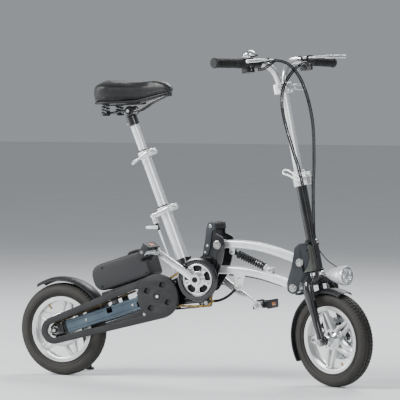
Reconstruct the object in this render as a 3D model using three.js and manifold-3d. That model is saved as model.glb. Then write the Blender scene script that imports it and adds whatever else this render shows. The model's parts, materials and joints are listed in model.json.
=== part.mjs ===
// Folding mini-bike with a battery case and a parallelogram front linkage.
// Millimetres, +Z up, +X forward, +Y to the rider's left. The ground is z = 0. The drawing starts under
// the rear axle on the wheels' middle plane; at the end the whole bike moves so that x = y = 0 is under
// the middle of its box.
import * as THREE from "three";
import { mergeVertices } from "three/addons/utils/BufferGeometryUtils.js";
import Module from "manifold-3d";

const wasm = await Module();
wasm.setup();

// ---------------------------------------------------------------- driving dimensions
const WHEEL_R = 156; // 12 1/2 x 2 1/4 tyre
const TYRE_HALF = 28;
const RIM_R = 111;
const MIDDLE = [486.32, 4.645, 0]; // middle of the box, on the ground, in the drawing's frame
const AXLE = [0, WHEEL_R]; // rear axle, side view (x, z)
const JACK = [385, 282]; // jackshaft and fold axis of the rear arm
const CRANK = [528, 342]; // bottom bracket
const CRANK_LEN = 170;
const CRANK_TURN = 147; // degrees from +X, right arm
const REAR_UPPER = [582, 455]; // pivots of the front parallelogram
const REAR_LOWER = [559, 371];
const FRONT_UPPER = [874, 404.5];
const FRONT_LOWER = [851, 320.5];
const JOCKEY = [557, 266]; // chain tensioner wheel
const SHOCK_UP = [622.7, 431];
const SHOCK_LOW = [756.2, 375.5];
const HEAD_FOOT = [962.6, 156]; // where the steering axis passes axle height
const HEAD_LEAN = 11.4; // degrees back from upright
const STEERED = 20; // degrees to the right at rest
const FORK_RAKE = 18;
const SEAT_FOOT = [474.5, 318.8]; // lower end of the seat tube
const SEAT_LEAN = 21.88; // degrees back from upright
const CLEAR = 0.3; // gap between pieces that rest on or turn in one another
const FINENESS = 0.5; // share of the listed side counts that round pieces get

const rad = THREE.MathUtils.degToRad;
const polar = (c, r, deg) => [c[0] + r * Math.cos(rad(deg)), c[1] + r * Math.sin(rad(deg))];

// ---------------------------------------------------------------- solids
function solid(geometry) {
  const g = geometry.clone();
  g.deleteAttribute("normal");
  g.deleteAttribute("uv");
  const m = mergeVertices(g, 1e-4);
  const vertProperties = new Float32Array(m.attributes.position.array);
  const triVerts = new Uint32Array(m.index.array);
  return new wasm.Manifold(new wasm.Mesh({ numProp: 3, vertProperties, triVerts }));
}
const join = (first, ...rest) => rest.reduce((a, b) => a.add(b), first);
const cut = (first, ...rest) => rest.reduce((a, b) => a.subtract(b), first);

function geometryOf(manifold) {
  const mesh = manifold.getMesh();
  const g = new THREE.BufferGeometry();
  const n = mesh.numProp;
  const v = new Float32Array(mesh.numVert * 3);
  for (let i = 0; i < mesh.numVert; i++) v.set(mesh.vertProperties.subarray(i * n, i * n + 3), i * 3);
  g.setAttribute("position", new THREE.BufferAttribute(v, 3));
  g.setIndex(new THREE.BufferAttribute(new Uint32Array(mesh.triVerts), 1));
  return g;
}

// Box from centre and size, turned by `deg` in side view (nose up).
function box(centre, size, deg = 0) {
  const g = new THREE.BoxGeometry(...size);
  g.rotateY(-rad(deg));
  g.translate(...centre);
  return solid(g);
}
// Round rod between two points.
const sides = (seg) => Math.max(8, Math.round(seg * FINENESS));
function rod(a, b, r, seg = 16, r2 = r) {
  const p = new THREE.Vector3(...a);
  const q = new THREE.Vector3(...b);
  const d = q.clone().sub(p);
  const g = new THREE.CylinderGeometry(r2, r, d.length(), sides(seg));
  const turn = new THREE.Quaternion().setFromUnitVectors(new THREE.Vector3(0, 1, 0), d.clone().normalize());
  g.applyQuaternion(turn);
  g.translate(...p.add(q).multiplyScalar(0.5).toArray());
  return solid(g);
}
// Round rod across the bike at a side-view point.
const cross = ([x, z], r, y0, y1, seg = 20) => rod([x, y0, z], [x, y1, z], r, seg);
// Body of revolution about the cross axis; the profile is (radius, y), with y rising.
function turned([x, z], profile, seg = 32) {
  const g = new THREE.LatheGeometry(
    profile.map(([r, y]) => new THREE.Vector2(r, y)),
    sides(seg),
  );
  g.translate(x, 0, z);
  return solid(g);
}
// Flat plate with a side-view outline of (x, z, corner radius) points, between y0 and y1.
function plate(points, y0, y1, holes = []) {
  const shape = outline(points);
  holes.forEach((h) => shape.holes.push(outline(h)));
  const g = new THREE.ExtrudeGeometry(shape, { depth: y1 - y0, bevelEnabled: false, curveSegments: 1 });
  g.rotateX(Math.PI / 2);
  g.translate(0, y1, 0);
  return solid(g);
}
function outline(points) {
  const n = points.length;
  const shape = new THREE.Shape();
  points.forEach(([x, z, corner = 0], i) => {
    const at = new THREE.Vector2(x, z);
    const before = new THREE.Vector2(...points[(i + n - 1) % n].slice(0, 2)).sub(at);
    const after = new THREE.Vector2(...points[(i + 1) % n].slice(0, 2)).sub(at);
    const r = Math.min(corner, 0.45 * before.length(), 0.45 * after.length());
    const inward = at.clone().add(before.setLength(r || 1e-6));
    const outward = at.clone().add(after.setLength(r || 1e-6));
    if (!r) {
      if (i) shape.lineTo(x, z);
      else shape.moveTo(x, z);
      return;
    }
    if (i) shape.lineTo(inward.x, inward.y);
    else shape.moveTo(inward.x, inward.y);
    shape.quadraticCurveTo(x, z, outward.x, outward.y);
  });
  shape.closePath();
  return shape;
}
// Convex outline round a set of circles [x, z, r], as a belt would lie.
function wrap(circles, seg = 24) {
  const pts = circles.flatMap(([x, z, r]) =>
    Array.from({ length: seg }, (_, i) => polar([x, z], r, (360 * i) / seg)),
  );
  pts.sort((a, b) => a[0] - b[0] || a[1] - b[1]);
  const turn = (o, a, b) => (a[0] - o[0]) * (b[1] - o[1]) - (a[1] - o[1]) * (b[0] - o[0]);
  const half = (list) => {
    const h = [];
    for (const p of list) {
      while (h.length > 1 && turn(h[h.length - 2], h[h.length - 1], p) <= 1e-6) h.pop();
      h.push(p);
    }
    h.pop();
    return h;
  };
  return half(pts).concat(half(pts.slice().reverse()));
}
// Belt-like ring round circles, `t` thick.
function belt(circles, t, y0, y1, seg = 24) {
  const grow = (d) => wrap(circles.map(([x, z, r]) => [x, z, r + d]), seg);
  return cut(plate(grow(t / 2), y0, y1), plate(grow(-t / 2), y0 - 1, y1 + 1));
}
// Round tube along a smooth curve through points, closed at both ends.
function pipe(points, r, steps = 16, seg = 10) {
  const curve = new THREE.CatmullRomCurve3(points.map((p) => new THREE.Vector3(...p)), false, "centripetal");
  const ring = new THREE.Shape();
  ring.absarc(0, 0, r, 0, Math.PI * 2, false);
  const options = { steps, curveSegments: Math.round(seg / 2), bevelEnabled: false, extrudePath: curve };
  return solid(new THREE.ExtrudeGeometry(ring, options));
}
const moved = (manifold, matrix) => solid(geometryOf(manifold).applyMatrix4(matrix));
// Sector of a body of revolution between two side-view angles.
function sector(body, centre, from, to, reach) {
  const rim = [];
  const n = Math.max(2, Math.ceil((to - from) / 30));
  for (let i = 0; i <= n; i++) rim.push(polar(centre, reach, from + ((to - from) * i) / n));
  return body.intersect(plate([centre, ...rim], -200, 200));
}

// ---------------------------------------------------------------- frames of the turned groups
const headMatrix = new THREE.Matrix4()
  .makeTranslation(HEAD_FOOT[0], 0, HEAD_FOOT[1])
  .multiply(new THREE.Matrix4().makeRotationY(-rad(HEAD_LEAN)));
const steerMatrix = headMatrix.clone().multiply(new THREE.Matrix4().makeRotationZ(-rad(STEERED)));
const seatMatrix = new THREE.Matrix4()
  .makeTranslation(SEAT_FOOT[0], 0, SEAT_FOOT[1])
  .multiply(new THREE.Matrix4().makeRotationY(-rad(SEAT_LEAN)));
const still = new THREE.Matrix4();

const bike = new THREE.Group();
bike.name = "folding_mini_bike";
const PAINT = {
  black: ["#1b1d20", 0.45, 0.3],
  graphite: ["#33373d", 0.5, 0.3],
  satin: ["#c3c7cb", 0.35, 0.8],
  polished: ["#d9dde0", 0.2, 0.9],
  blue_grey: ["#5a6a7a", 0.4, 0.5],
  plastic: ["#232427", 0.6, 0],
  rubber: ["#1d1d1e", 0.9, 0],
  tyre: ["#262627", 0.95, 0],
  leather: ["#1c1c1e", 0.7, 0],
  chain: ["#8d7f63", 0.4, 0.8],
  lens: ["#dfe6ea", 0.1, 0],
};
function add(name, manifold, paint, matrix = still) {
  const [color, roughness, metalness] = PAINT[paint];
  const mesh = new THREE.Mesh(
    geometryOf(manifold).applyMatrix4(matrix),
    new THREE.MeshStandardMaterial({ color, roughness, metalness }),
  );
  mesh.name = name;
  bike.add(mesh);
}

// ---------------------------------------------------------------- wheels
const FRONT_AXLE = [FORK_RAKE, -3.4]; // in the steered frame
const SPOKES = 5;
function tyre(centre) {
  const side = [
    [RIM_R + CLEAR, 0],
    [RIM_R + CLEAR, 19],
    [118, 24],
    [132, TYRE_HALF],
    [146, 24],
    [153.5, 13],
    [WHEEL_R, 0],
  ];
  const mirrored = side.slice(1, -1).map(([r, y]) => [r, -y]);
  return turned(centre, [side[0], ...mirrored, side[6], ...side.slice(1, -1).reverse(), side[0]], 48);
}
// Cast wheel: channelled rim, five A-shaped double spokes and a hub barrel from y0 to y1.
function castWheel(centre, phase, hub, y0, y1, bore) {
  const rim = turned(
    centre,
    [
      [97, -20],
      [RIM_R, -20],
      [RIM_R, 20],
      [97, 20],
      [103, 9],
      [103, -9],
      [97, -20],
    ],
    48,
  );
  const spokes = [];
  for (let k = 0; k < SPOKES; k++) {
    const a = phase + (360 / SPOKES) * k;
    for (const side of [-1, 1]) {
      const foot = polar(centre, hub - 3, a + side * 28);
      const tip = polar(centre, 105.5, a + side * 4);
      const dx = tip[0] - foot[0];
      const dz = tip[1] - foot[1];
      const mid = [(foot[0] + tip[0]) / 2, 0, (foot[1] + tip[1]) / 2];
      spokes.push(box(mid, [Math.hypot(dx, dz), 13, 9], (Math.atan2(dz, dx) * 180) / Math.PI));
    }
  }
  return { rim: join(rim, ...spokes), bore: cross(centre, bore, y0 - 1, y1 + 1, 20) };
}
const rearCast = castWheel(AXLE, 7, 46, -36, 36, 7);
const rearHub = turned(AXLE, [[0, -27], [24, -27], [55, -20], [59, -13], [59, 13], [55, 20], [24, 30], [0, 30]], 32);
add("rear_tyre", tyre(AXLE), "tyre");
add("rear_rim", cut(join(rearCast.rim, rearHub), rearCast.bore), "polished");
add(
  "rear_sprocket",
  cut(turned(AXLE, [[0, -38], [14, -38], [14, -34.2], [22, -34.2], [22, -30.8], [14, -30.8], [14, -27.3], [0, -27.3]], 22),
    cross(AXLE, 7, -72, -20)),
  "chain",
);
const frontCast = castWheel(FRONT_AXLE, 30, 28, -45, 45, 6.5);
const frontHub = turned(
  FRONT_AXLE,
  [[0, -45], [16, -45], [16, -14], [32, -9], [32, 9], [16, 14], [16, 45], [0, 45]],
  24,
);
add("front_tyre", tyre(FRONT_AXLE), "tyre", steerMatrix);
add("front_rim", cut(join(frontCast.rim, frontHub), frontCast.bore), "polished", steerMatrix);
const rotorWindows = [0, 1, 2, 3, 4].map((k) => cross(polar(FRONT_AXLE, 44, 72 * k), 12, 20, 40, 10));
add(
  "front_rotor",
  cut(turned(FRONT_AXLE, [[16.3, 28], [70, 28], [70, 30.5], [16.3, 30.5], [16.3, 28]], 32), ...rotorWindows),
  "satin",
  steerMatrix,
);

// ---------------------------------------------------------------- rear arm, guard, battery, stand
const ARM_TILT = (Math.atan2(JACK[1] - AXLE[1], JACK[0] - AXLE[0]) * 180) / Math.PI;
const along = (d, up = 0) => {
  const a = rad(ARM_TILT);
  return [AXLE[0] + d * Math.cos(a) - up * Math.sin(a), AXLE[1] + d * Math.sin(a) + up * Math.cos(a)];
};
const at3 = ([x, z], y) => [x, y, z];
const ARM_LEN = Math.hypot(JACK[0] - AXLE[0], JACK[1] - AXLE[1]);
const armSides = [-1, 1].map((s) => box(at3(along(205), s * 53), [345, 16, 42], ARM_TILT));
const armEyes = [-1, 1].map((s) =>
  join(cross(JACK, 30, s * 53 - 8, s * 53 + 8, 24), box(at3(along(385), s * 53), [60, 16, 40], ARM_TILT)),
);
const bridge = join(
  box(at3(along(212, 8), 0), [26, 122, 24], ARM_TILT),
  box(at3(along(326, -4), 0), [22, 122, 24], ARM_TILT),
);
const trayTop = 76; // battery underside above the arm's centre line
const tray = join(
  box(at3(along(288, trayTop - 9), 0), [190, 84, 13], ARM_TILT),
  ...[-1, 1].flatMap((s) =>
    [232, 330].map((d) => box(at3(along(d, 44), s * 41), [26, 8, 60], ARM_TILT)),
  ),
  ...[-1, 1].flatMap((s) => [232, 330].map((d) => box(at3(along(d, 20), s * 46), [26, 20, 10], ARM_TILT))),
);
const caliperMount = box(at3(along(60, 40), 50), [46, 14, 44], ARM_TILT);
add(
  "rear_arm",
  cut(
    join(...armSides, ...armEyes, bridge, tray, caliperMount),
    cross(JACK, 13.2, -70, 70, 20),
    cross(AXLE, 36, -66, 66, 24),
  ),
  "blue_grey",
);
const axleBlocks = [-1, 1].map((s) => box(at3(along(5, 0), s * 53), [44, 15.4, 36], ARM_TILT));
add(
  "rear_axle",
  join(
    ...axleBlocks,
    cross(AXLE, 6, -78, 74, 20),
    cross(AXLE, 11, -74, -70.5, 6),
    cross(AXLE, 11, 61, 70, 6),
  ),
  "black",
);
const guardHoles = [
  [-38, 17],
  [17, 39],
  [38, -18],
  [-24, -39],
].map(([dx, dz]) => {
  const c = [JACK[0] + dx, JACK[1] + dz];
  const a = (Math.atan2(dz, dx) * 180) / Math.PI;
  return plate([45, 135, 225, 315].map((t) => [...polar(c, 14, a + t), 5]), -100, -60);
});
const guardBand = cut(
  plate(wrap([[...AXLE, 45], [...JACK, 74]], 32), -81, -78),
  plate(wrap([[...AXLE, 24], [...JACK, 50]], 24), -90, -70),
);
const guardDisc = cut(cross(JACK, 74, -82, -78, 40), ...guardHoles);
const guardStays = [along(340, 40), along(340, -42)].map((p) => rod(at3(p, -79), at3(p, -62), 7, 10));
add(
  "chain_guard",
  join(
    guardBand,
    guardDisc,
    ...guardStays,
    box(at3(along(340, 28), -64), [16, 5, 30], ARM_TILT),
    box(at3(along(340, -29), -64), [16, 5, 32], ARM_TILT),
  ),
  "plastic",
);
add("rear_chain", belt([[...AXLE, 25.6], [...JACK, 49]], 6, -35, -30, 24), "chain");
// Jackshaft: small driven sprocket outside the arm, larger driving sprocket inside the frame.
add(
  "jackshaft",
  join(
    cross(JACK, 12, -76, 64, 20),
    cross(JACK, 26, -70, -67, 28),
    cross(JACK, 45, -34.2, -30.8, 32),
  ),
  "satin",
);

const guardRing = turned(
  AXLE,
  [[173, -34], [178, -20], [178, 20], [173, 34], [171, 33], [175, 19], [175, -19], [171, -33], [173, -34]],
  64,
);
const fender = join(
  sector(guardRing, AXLE, 37, 121, 260),
  box(at3(along(171, 32), 0), [8, 50, 56], ARM_TILT),
  box(at3(along(184, 10), 0), [26, 50, 8], ARM_TILT),
);
add("rear_mudguard", fender, "plastic");

const BATTERY = along(285, trayTop + 44.5);
const batteryBody = plate(
  [
    [-106, -44.5, 40],
    [106, -44.5, 12],
    [106, 44.5, 22],
    [-106, 44.5, 40],
  ],
  -51,
  51,
);
add(
  "battery_case",
  batteryBody,
  "graphite",
  new THREE.Matrix4()
    .makeTranslation(BATTERY[0], 0, BATTERY[1])
    .multiply(new THREE.Matrix4().makeRotationY(-rad(ARM_TILT))),
);

const STAND_TOP = [30, 70, 182];
const STAND_AXIS = [0, 0.935, 0.354]; // tilted so that the leg folds in beside the wheel
const STAND_FOOT = [6, 184, 8];
add(
  "kickstand",
  join(
    rod(STAND_TOP.map((v, i) => v - 4 * STAND_AXIS[i]), STAND_TOP.map((v, i) => v + 9 * STAND_AXIS[i]), 10, 20),
    rod(STAND_TOP, STAND_FOOT, 7, 12),
    rod([STAND_FOOT[0] - 12, 184, 6.2], [STAND_FOOT[0] + 12, 186, 6.2], 6, 10),
  ),
  "black",
);

// ---------------------------------------------------------------- centre frame
const PLATE_IN = 36;
const PLATE_OUT = 42;
const sidePlate = [
  [544, 506, 10],
  [552, 530, 10],
  [574, 530, 10],
  [577, 492, 6],
  [604, 480, 12],
  [610, 456, 10],
  [600, 400, 10],
  [584, 352, 14],
  [552, 300, 20],
  [500, 288, 20],
  [400, 244, 30],
  [346, 270, 24],
  [372, 318, 20],
  [444, 346, 10],
  [470, 392, 12],
  [500, 398, 12],
  [530, 420, 10],
];
const pivotBore = (p, r) => cross(p, r, -60, 60, 20);
const webs = [-1, 1].map((s) => {
  const y0 = s < 0 ? -PLATE_OUT : PLATE_IN;
  return plate(sidePlate, y0, y0 + 6);
});
const seatBoss = moved(rod([0, 0, -24], [0, 0, 88], 26, 24), seatMatrix);
const pin = (p) =>
  join(cross(p, 8, -46, 46, 16), cross(p, 11, -48.5, -42.1, 14), cross(p, 11, 42.1, 48.5, 14));
const pinCollars = (p) =>
  join(pin(p), cross(p, 13, -PLATE_IN - 0.5, -20.4, 16), cross(p, 13, 20.4, PLATE_IN + 0.5, 16));
const chassis = join(
  ...webs,
  cross(CRANK, 24, -41, 41, 24),
  cross(JACK, 22, -44, 44, 24),
  seatBoss,
  box([462, 0, 318], [16, 80, 50], 20),
  box([484, 0, 300], [50, 80, 20], 20),
  box([425, 0, 292], [60, 80, 22], 20),
  pinCollars(REAR_UPPER),
  pinCollars(REAR_LOWER),
  plate([[430, 236, 6], [566, 252, 8], [566, 284, 8], [530, 292, 6], [430, 262, 6]], -47, -41.5),
  cross(JOCKEY, 4, -73, -44, 10),
  cross(JOCKEY, 10, -65.6, -44, 14),
);
add(
  "chassis_frame",
  cut(
    chassis,
    cross(CRANK, 13.2, -60, 60, 20),
    cross(JACK, 13.2, -60, 60, 20),
    turned(JACK, [[0, -35.7], [56, -35.7], [56, -29.4], [0, -29.4]], 32),
    cross([562, 516], 7.4, -60, 60, 16),
    moved(rod([0, 0, -20], [0, 0, 300], 20.3, 24), seatMatrix),
  ),
  "black",
);
const strapLine = [
  [533, 420, 6],
  [540, 452, 6],
  [544, 506, 10],
  [552, 530, 10],
  [574, 530, 10],
  [577, 506, 6],
  [566, 500, 6],
  [560, 450, 6],
  [552, 420, 6],
];
const straps = [-1, 1].map((s) => {
  const y0 = s < 0 ? -48.3 : 42.3;
  return plate(strapLine, y0, y0 + 6);
});
add("carry_handle", cut(join(...straps, cross([562, 516], 7, -46, 46, 16)), pivotBore(REAR_UPPER, 13)), "graphite");
add(
  "carry_grip",
  cut(cross([562, 516], 14, -35.6, 35.6, 20), cross([562, 516], 7.3, -40, 40, 16)),
  "rubber",
);
const reach = (p, q, t) => [p[0] + (q[0] - p[0]) * t, p[1] + (q[1] - p[1]) * t];
add("front_chain", belt([[...CRANK, 55], [...JACK, 30], [...JOCKEY, 12]], 6, -71, -66, 24), "chain");
add("chain_jockey", cut(cross(JOCKEY, 8.6, -70, -67, 16), cross(JOCKEY, 5, -80, -60, 10)), "black");

// ---------------------------------------------------------------- cranks and pedals
const ARM_Y = 94; // crank arm planes
const armTip = (side) => polar(CRANK, CRANK_LEN, side < 0 ? CRANK_TURN : CRANK_TURN - 180);
function crankArm(side) {
  const tip = armTip(side);
  const y = side * ARM_Y;
  const mid = reach(CRANK, tip, 0.5);
  const tilt = (Math.atan2(tip[1] - CRANK[1], tip[0] - CRANK[0]) * 180) / Math.PI;
  return join(
    box(at3(mid, y), [CRANK_LEN, 11, 22], tilt),
    cross(CRANK, 19, y - 7, y + 7, 20),
    cross(tip, 14, y - 6.5, y + 6.5, 16),
  );
}
const spiderWindows = [0, 1, 2, 3, 4].map((k) => {
  const a = 72 * k + 18;
  const p = [
    [...polar(CRANK, 27, a - 24), 5],
    [...polar(CRANK, 45, a - 21), 6],
    [...polar(CRANK, 45, a + 21), 6],
    [...polar(CRANK, 27, a + 24), 5],
  ];
  return plate(p, -82, -60);
});
const pedalBores = [-1, 1].map((s) => cross(armTip(s), 8.3, s * ARM_Y - 12, s * ARM_Y + 12, 12));
add(
  "crankset",
  cut(
    join(
      crankArm(-1),
      crankArm(1),
      cross(CRANK, 12, -ARM_Y - 3, ARM_Y + 3, 20),
      cut(join(cross(CRANK, 51.5, -79, -74, 36), cross(CRANK, 51.5, -70, -67, 36)), ...spiderWindows),
      cross(CRANK, 30, -82, -64, 24),
    ),
    ...pedalBores,
  ),
  "polished",
);
add(
  "guard_ring",
  turned(CRANK, [[51.9, -80], [68, -80], [72, -77], [72, -73.6], [51.9, -73.6], [51.9, -80]], 36),
  "black",
);
function pedal(name, side) {
  const tip = armTip(side);
  const y = side * ARM_Y;
  const out = (d) => [tip[0], y + side * d, tip[1]];
  add(
    name + "_spindle",
    join(rod(out(-8), out(15), 8, 12), rod(out(14.5), out(20), 13, 12), rod(out(19), out(112), 6, 12)),
    "satin",
  );
  const tilt = side < 0 ? 58 : 4;
  const centre = out(66);
  const cage = cut(box(centre, [58, 88, 27], tilt), box(centre, [40, 72, 40], tilt));
  const barrel = join(rod(out(24), out(108), 12, 14), box(centre, [50, 8, 18], tilt));
  add(name + "_cage", cut(join(cage, barrel), rod(out(10), out(120), 7, 12)), "plastic");
}
pedal("pedal_right", -1);
pedal("pedal_left", 1);

// ---------------------------------------------------------------- seat column, in its own frame along +z
const SEAT = { low: 274, mid0: 150, mid1: 472, post0: 372, post1: 596 };
const ringOf = (r, inner, z0, z1, seg = 24) =>
  cut(rod([0, 0, z0], [0, 0, z1], r, seg), rod([0, 0, z0 - 1], [0, 0, z1 + 1], inner, seg));
// Split collar with two ears in front; `inner` is the tube it grips.
function quickClamp(z, r, inner, tall = 22) {
  return cut(
    join(
      ringOf(r, inner, z - tall / 2, z + tall / 2),
      box([r + 6, -11, z], [22, 8, tall - 4]),
      box([r + 6, 11, z], [22, 8, tall - 4]),
    ),
    rod([0, 0, z - 40], [0, 0, z + 40], inner, 24),
    rod([r + 9, -40, z], [r + 9, 40, z], 4, 10),
  );
}
// Skewer through the ears with a nut on the left and a lever on the right that points back.
function quickLever(z, r, length, rise) {
  const x = r + 9;
  return join(
    rod([x, -26, z], [x, 24, z], 3.5, 10),
    rod([x, 15.4, z], [x, 24, z], 8, 6),
    rod([x, -34, z], [x, -15.4, z], 8, 12),
    rod([x, -34, z], [x - length, -36, z + rise], 4.5, 10),
    rod([x - length, -33, z + rise], [x - length, -39, z + rise], 9, 12),
  );
}
add(
  "seat_tube",
  join(
    ringOf(20, 17.3, 0, SEAT.low),
    quickClamp(SEAT.low - 10, 25, 19),
    cut(box([-33, 0, SEAT.low - 14], [30, 22, 14]), rod([0, 0, 0], [0, 0, 400], 19, 24)),
    box([-46, 8, SEAT.low - 26], [12, 6, 26]),
    box([-46, -8, SEAT.low - 26], [12, 6, 26]),
  ),
  "satin",
  seatMatrix,
);
add("seat_lever_lower", quickLever(SEAT.low - 10, 25, 66, -4), "polished", seatMatrix);
add(
  "seat_tube_mid",
  join(ringOf(17, 14.6, SEAT.mid0, SEAT.mid1), quickClamp(SEAT.mid1 - 10, 22, 16)),
  "satin",
  seatMatrix,
);
add("seat_lever_upper", quickLever(SEAT.mid1 - 10, 22, 62, -14), "polished", seatMatrix);
add("seat_post", rod([0, 0, SEAT.post0], [0, 0, SEAT.post1], 14.3, 24), "satin", seatMatrix);
add(
  "release_rod",
  join(
    rod([-46, 0, 34], [-46, 0, SEAT.low - 40], 4, 10),
    box([-46, 0, 40], [18, 14, 12]),
    rod([-46, 0, SEAT.low - 62], [-46, 0, SEAT.low - 40], 4.6, 10),
    rod([-44, 0, SEAT.low - 54], [-80, 0, SEAT.low - 42], 7, 10),
  ),
  "satin",
  seatMatrix,
);

// ---------------------------------------------------------------- saddle
// Closed skin over cross sections (x, half width, top, bottom).
function loft(sections, seg = 16, power = 2.6) {
  const position = [];
  const index = [];
  sections.forEach(([x, w, top, bottom]) => {
    for (let i = 0; i < seg; i++) {
      const a = (2 * Math.PI * i) / seg;
      const c = Math.cos(a);
      const s = Math.sin(a);
      const y = w * Math.sign(c) * Math.abs(c) ** (2 / power);
      const z = (top + bottom) / 2 + ((top - bottom) / 2) * Math.sign(s) * Math.abs(s) ** (2 / power);
      position.push(x, y, z);
    }
  });
  const rows = sections.length;
  for (let j = 0; j < rows - 1; j++) {
    for (let i = 0; i < seg; i++) {
      const a = j * seg + i;
      const b = j * seg + ((i + 1) % seg);
      index.push(a, b, a + seg, b, b + seg, a + seg);
    }
  }
  for (const [row, flip] of [[0, true], [rows - 1, false]]) {
    const [x, , top, bottom] = sections[row];
    const hub = position.length / 3;
    position.push(x, 0, (top + bottom) / 2);
    for (let i = 0; i < seg; i++) {
      const a = row * seg + i;
      const b = row * seg + ((i + 1) % seg);
      if (flip) index.push(hub, b, a);
      else index.push(hub, a, b);
    }
  }
  const g = new THREE.BufferGeometry();
  g.setAttribute("position", new THREE.Float32BufferAttribute(position, 3));
  g.setIndex(index);
  return solid(g);
}
const floorOf = (x) => 936 + (x - 140) * 0.05;
const saddleForm = [
  [138, 44, 970],
  [144, 72, 980],
  [158, 94, 988],
  [182, 105, 993],
  [210, 100, 991],
  [240, 80, 988],
  [270, 56, 986],
  [305, 38, 987],
  [345, 30, 991],
  [378, 27, 990],
  [396, 22, 983],
  [407, 13, 972],
];
add("saddle_cover", loft(saddleForm.map(([x, w, top]) => [x, w, top, floorOf(x)])), "leather");
add(
  "saddle_base",
  loft(
    saddleForm.slice(1, -1).map(([x, w]) => [x, w - 5, floorOf(x) - 0.4, floorOf(x) - 9]),
    16,
    4,
  ),
  "plastic",
);
const SADDLE_CLAMP = [11, 614]; // in the seat frame
const rails = [-1, 1].map((s) =>
  pipe(
    [
      [182, s * 50, 884],
      [205, s * 42, 886],
      [228, s * 24, 893],
      [280, s * 20, 894],
      [332, s * 14, 916],
      [384, s * 9, 930],
    ],
    4,
    9,
    6,
  ),
);
const postHead = moved(
  join(
    ringOf(19, 14.6, 564, 598, 24),
    rod([0, 0, 596.6], [0, 0, 606], 19, 24),
    rod([SADDLE_CLAMP[0], -30, SADDLE_CLAMP[1]], [SADDLE_CLAMP[0], 30, SADDLE_CLAMP[1]], 15, 16),
  ),
  seatMatrix,
);
add(
  "saddle_frame",
  join(
    postHead,
    ...rails,
    ...[-1, 1].map((s) => rod([184, s * 54, 878], [184, s * 54, 927], 15, 14)),
    box([387, 0, 933.5], [16, 30, 8]),
  ),
  "black",
);

// ---------------------------------------------------------------- front linkage
// Outline of a bent bar that follows a centre line.
function bent(line, half) {
  const side = (sign) =>
    line.map(([x, z], i) => {
      const [x0, z0] = line[Math.max(0, i - 1)];
      const [x1, z1] = line[Math.min(line.length - 1, i + 1)];
      const l = Math.hypot(x1 - x0, z1 - z0);
      return [x - (sign * half * (z1 - z0)) / l, z + (sign * half * (x1 - x0)) / l];
    });
  return side(1).concat(side(-1).reverse());
}
const BEAM_HALF = 20;
const upperLine = [REAR_UPPER, [620, 457], [665, 456], [717, 450], [768, 438.5], [815, 424.5], [850, 412.5], FRONT_UPPER];
const lowerLine = [REAR_LOWER, [600, 371.5], [660, 369], [717, 361], [770, 348], [823, 331], FRONT_LOWER];
function beam(line, a, b, extra) {
  return cut(
    join(
      plate(bent(line, 13), -BEAM_HALF, BEAM_HALF),
      cross(a, 15.5, -BEAM_HALF, BEAM_HALF, 20),
      cross(b, 15.5, -BEAM_HALF, BEAM_HALF, 20),
      ...extra,
    ),
    cross(a, 9.2, -40, 40, 16),
    cross(b, 9.2, -40, 40, 16),
  );
}
const ears = (p, root, y, t = 5) =>
  [-1, 1].map((s) => {
    const mid = s * (y + t / 2);
    return join(
      cross(p, 9, mid - t / 2, mid + t / 2, 14),
      box([p[0], mid, (p[1] + root) / 2], [20, t, Math.abs(p[1] - root)]),
    );
  });
const earPin = (p) => cross(p, 4, -12, 12, 12);
add(
  "upper_beam",
  beam(upperLine, REAR_UPPER, FRONT_UPPER, [...ears(SHOCK_UP, 448, 7.5), earPin(SHOCK_UP)]),
  "satin",
);
add(
  "lower_beam",
  beam(lowerLine, REAR_LOWER, FRONT_LOWER, [
    ...ears(SHOCK_LOW, 358, 7.5),
    earPin(SHOCK_LOW),
    pipe([[560, -27, 268], [585, -25, 272], [612, -24, 285], [634, -24, 303], [649, -24, 316]], 4.5, 9, 8),
    cross([649, 316], 9, -28, -13.5, 14),
    plate([[632, 364], [672, 362], [663, 316, 6], [648, 304, 6], [635, 316, 6]], -19.5, -13.5),
  ]),
  "satin",
);
// Shock absorber between the beams.
const shockLen = Math.hypot(SHOCK_LOW[0] - SHOCK_UP[0], SHOCK_LOW[1] - SHOCK_UP[1]);
const shockDir = [(SHOCK_LOW[0] - SHOCK_UP[0]) / shockLen, (SHOCK_LOW[1] - SHOCK_UP[1]) / shockLen];
const onShock = (d) => [SHOCK_UP[0] + shockDir[0] * d, 0, SHOCK_UP[1] + shockDir[1] * d];
const eye = (p) => cross(p, 9, -7, 7, 16);
const eyeBore = (p) => cross(p, 5, -20, 20, 12);
add(
  "shock_body",
  cut(
    join(eye(SHOCK_UP), rod(onShock(4), onShock(24), 6.6, 14), rod(onShock(20), onShock(26), 13.5, 18),
      rod(onShock(20), onShock(84), 7.5, 14)),
    eyeBore(SHOCK_UP),
    rod(onShock(24.6), onShock(90), 4.5, 14),
  ),
  "black",
);
add(
  "shock_rod",
  cut(
    join(eye(SHOCK_LOW), rod(onShock(44), onShock(shockLen - 4), 4.2, 12),
      rod(onShock(shockLen - 30), onShock(shockLen - 24), 13, 18), rod(onShock(shockLen - 26), onShock(shockLen - 4), 6.4, 12)),
    eyeBore(SHOCK_LOW),
  ),
  "polished",
);
add(
  "shock_spring",
  cut(rod(onShock(26.3), onShock(shockLen - 30.3), 13, 18), rod(onShock(20), onShock(shockLen), 9, 18)),
  "black",
);

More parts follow.
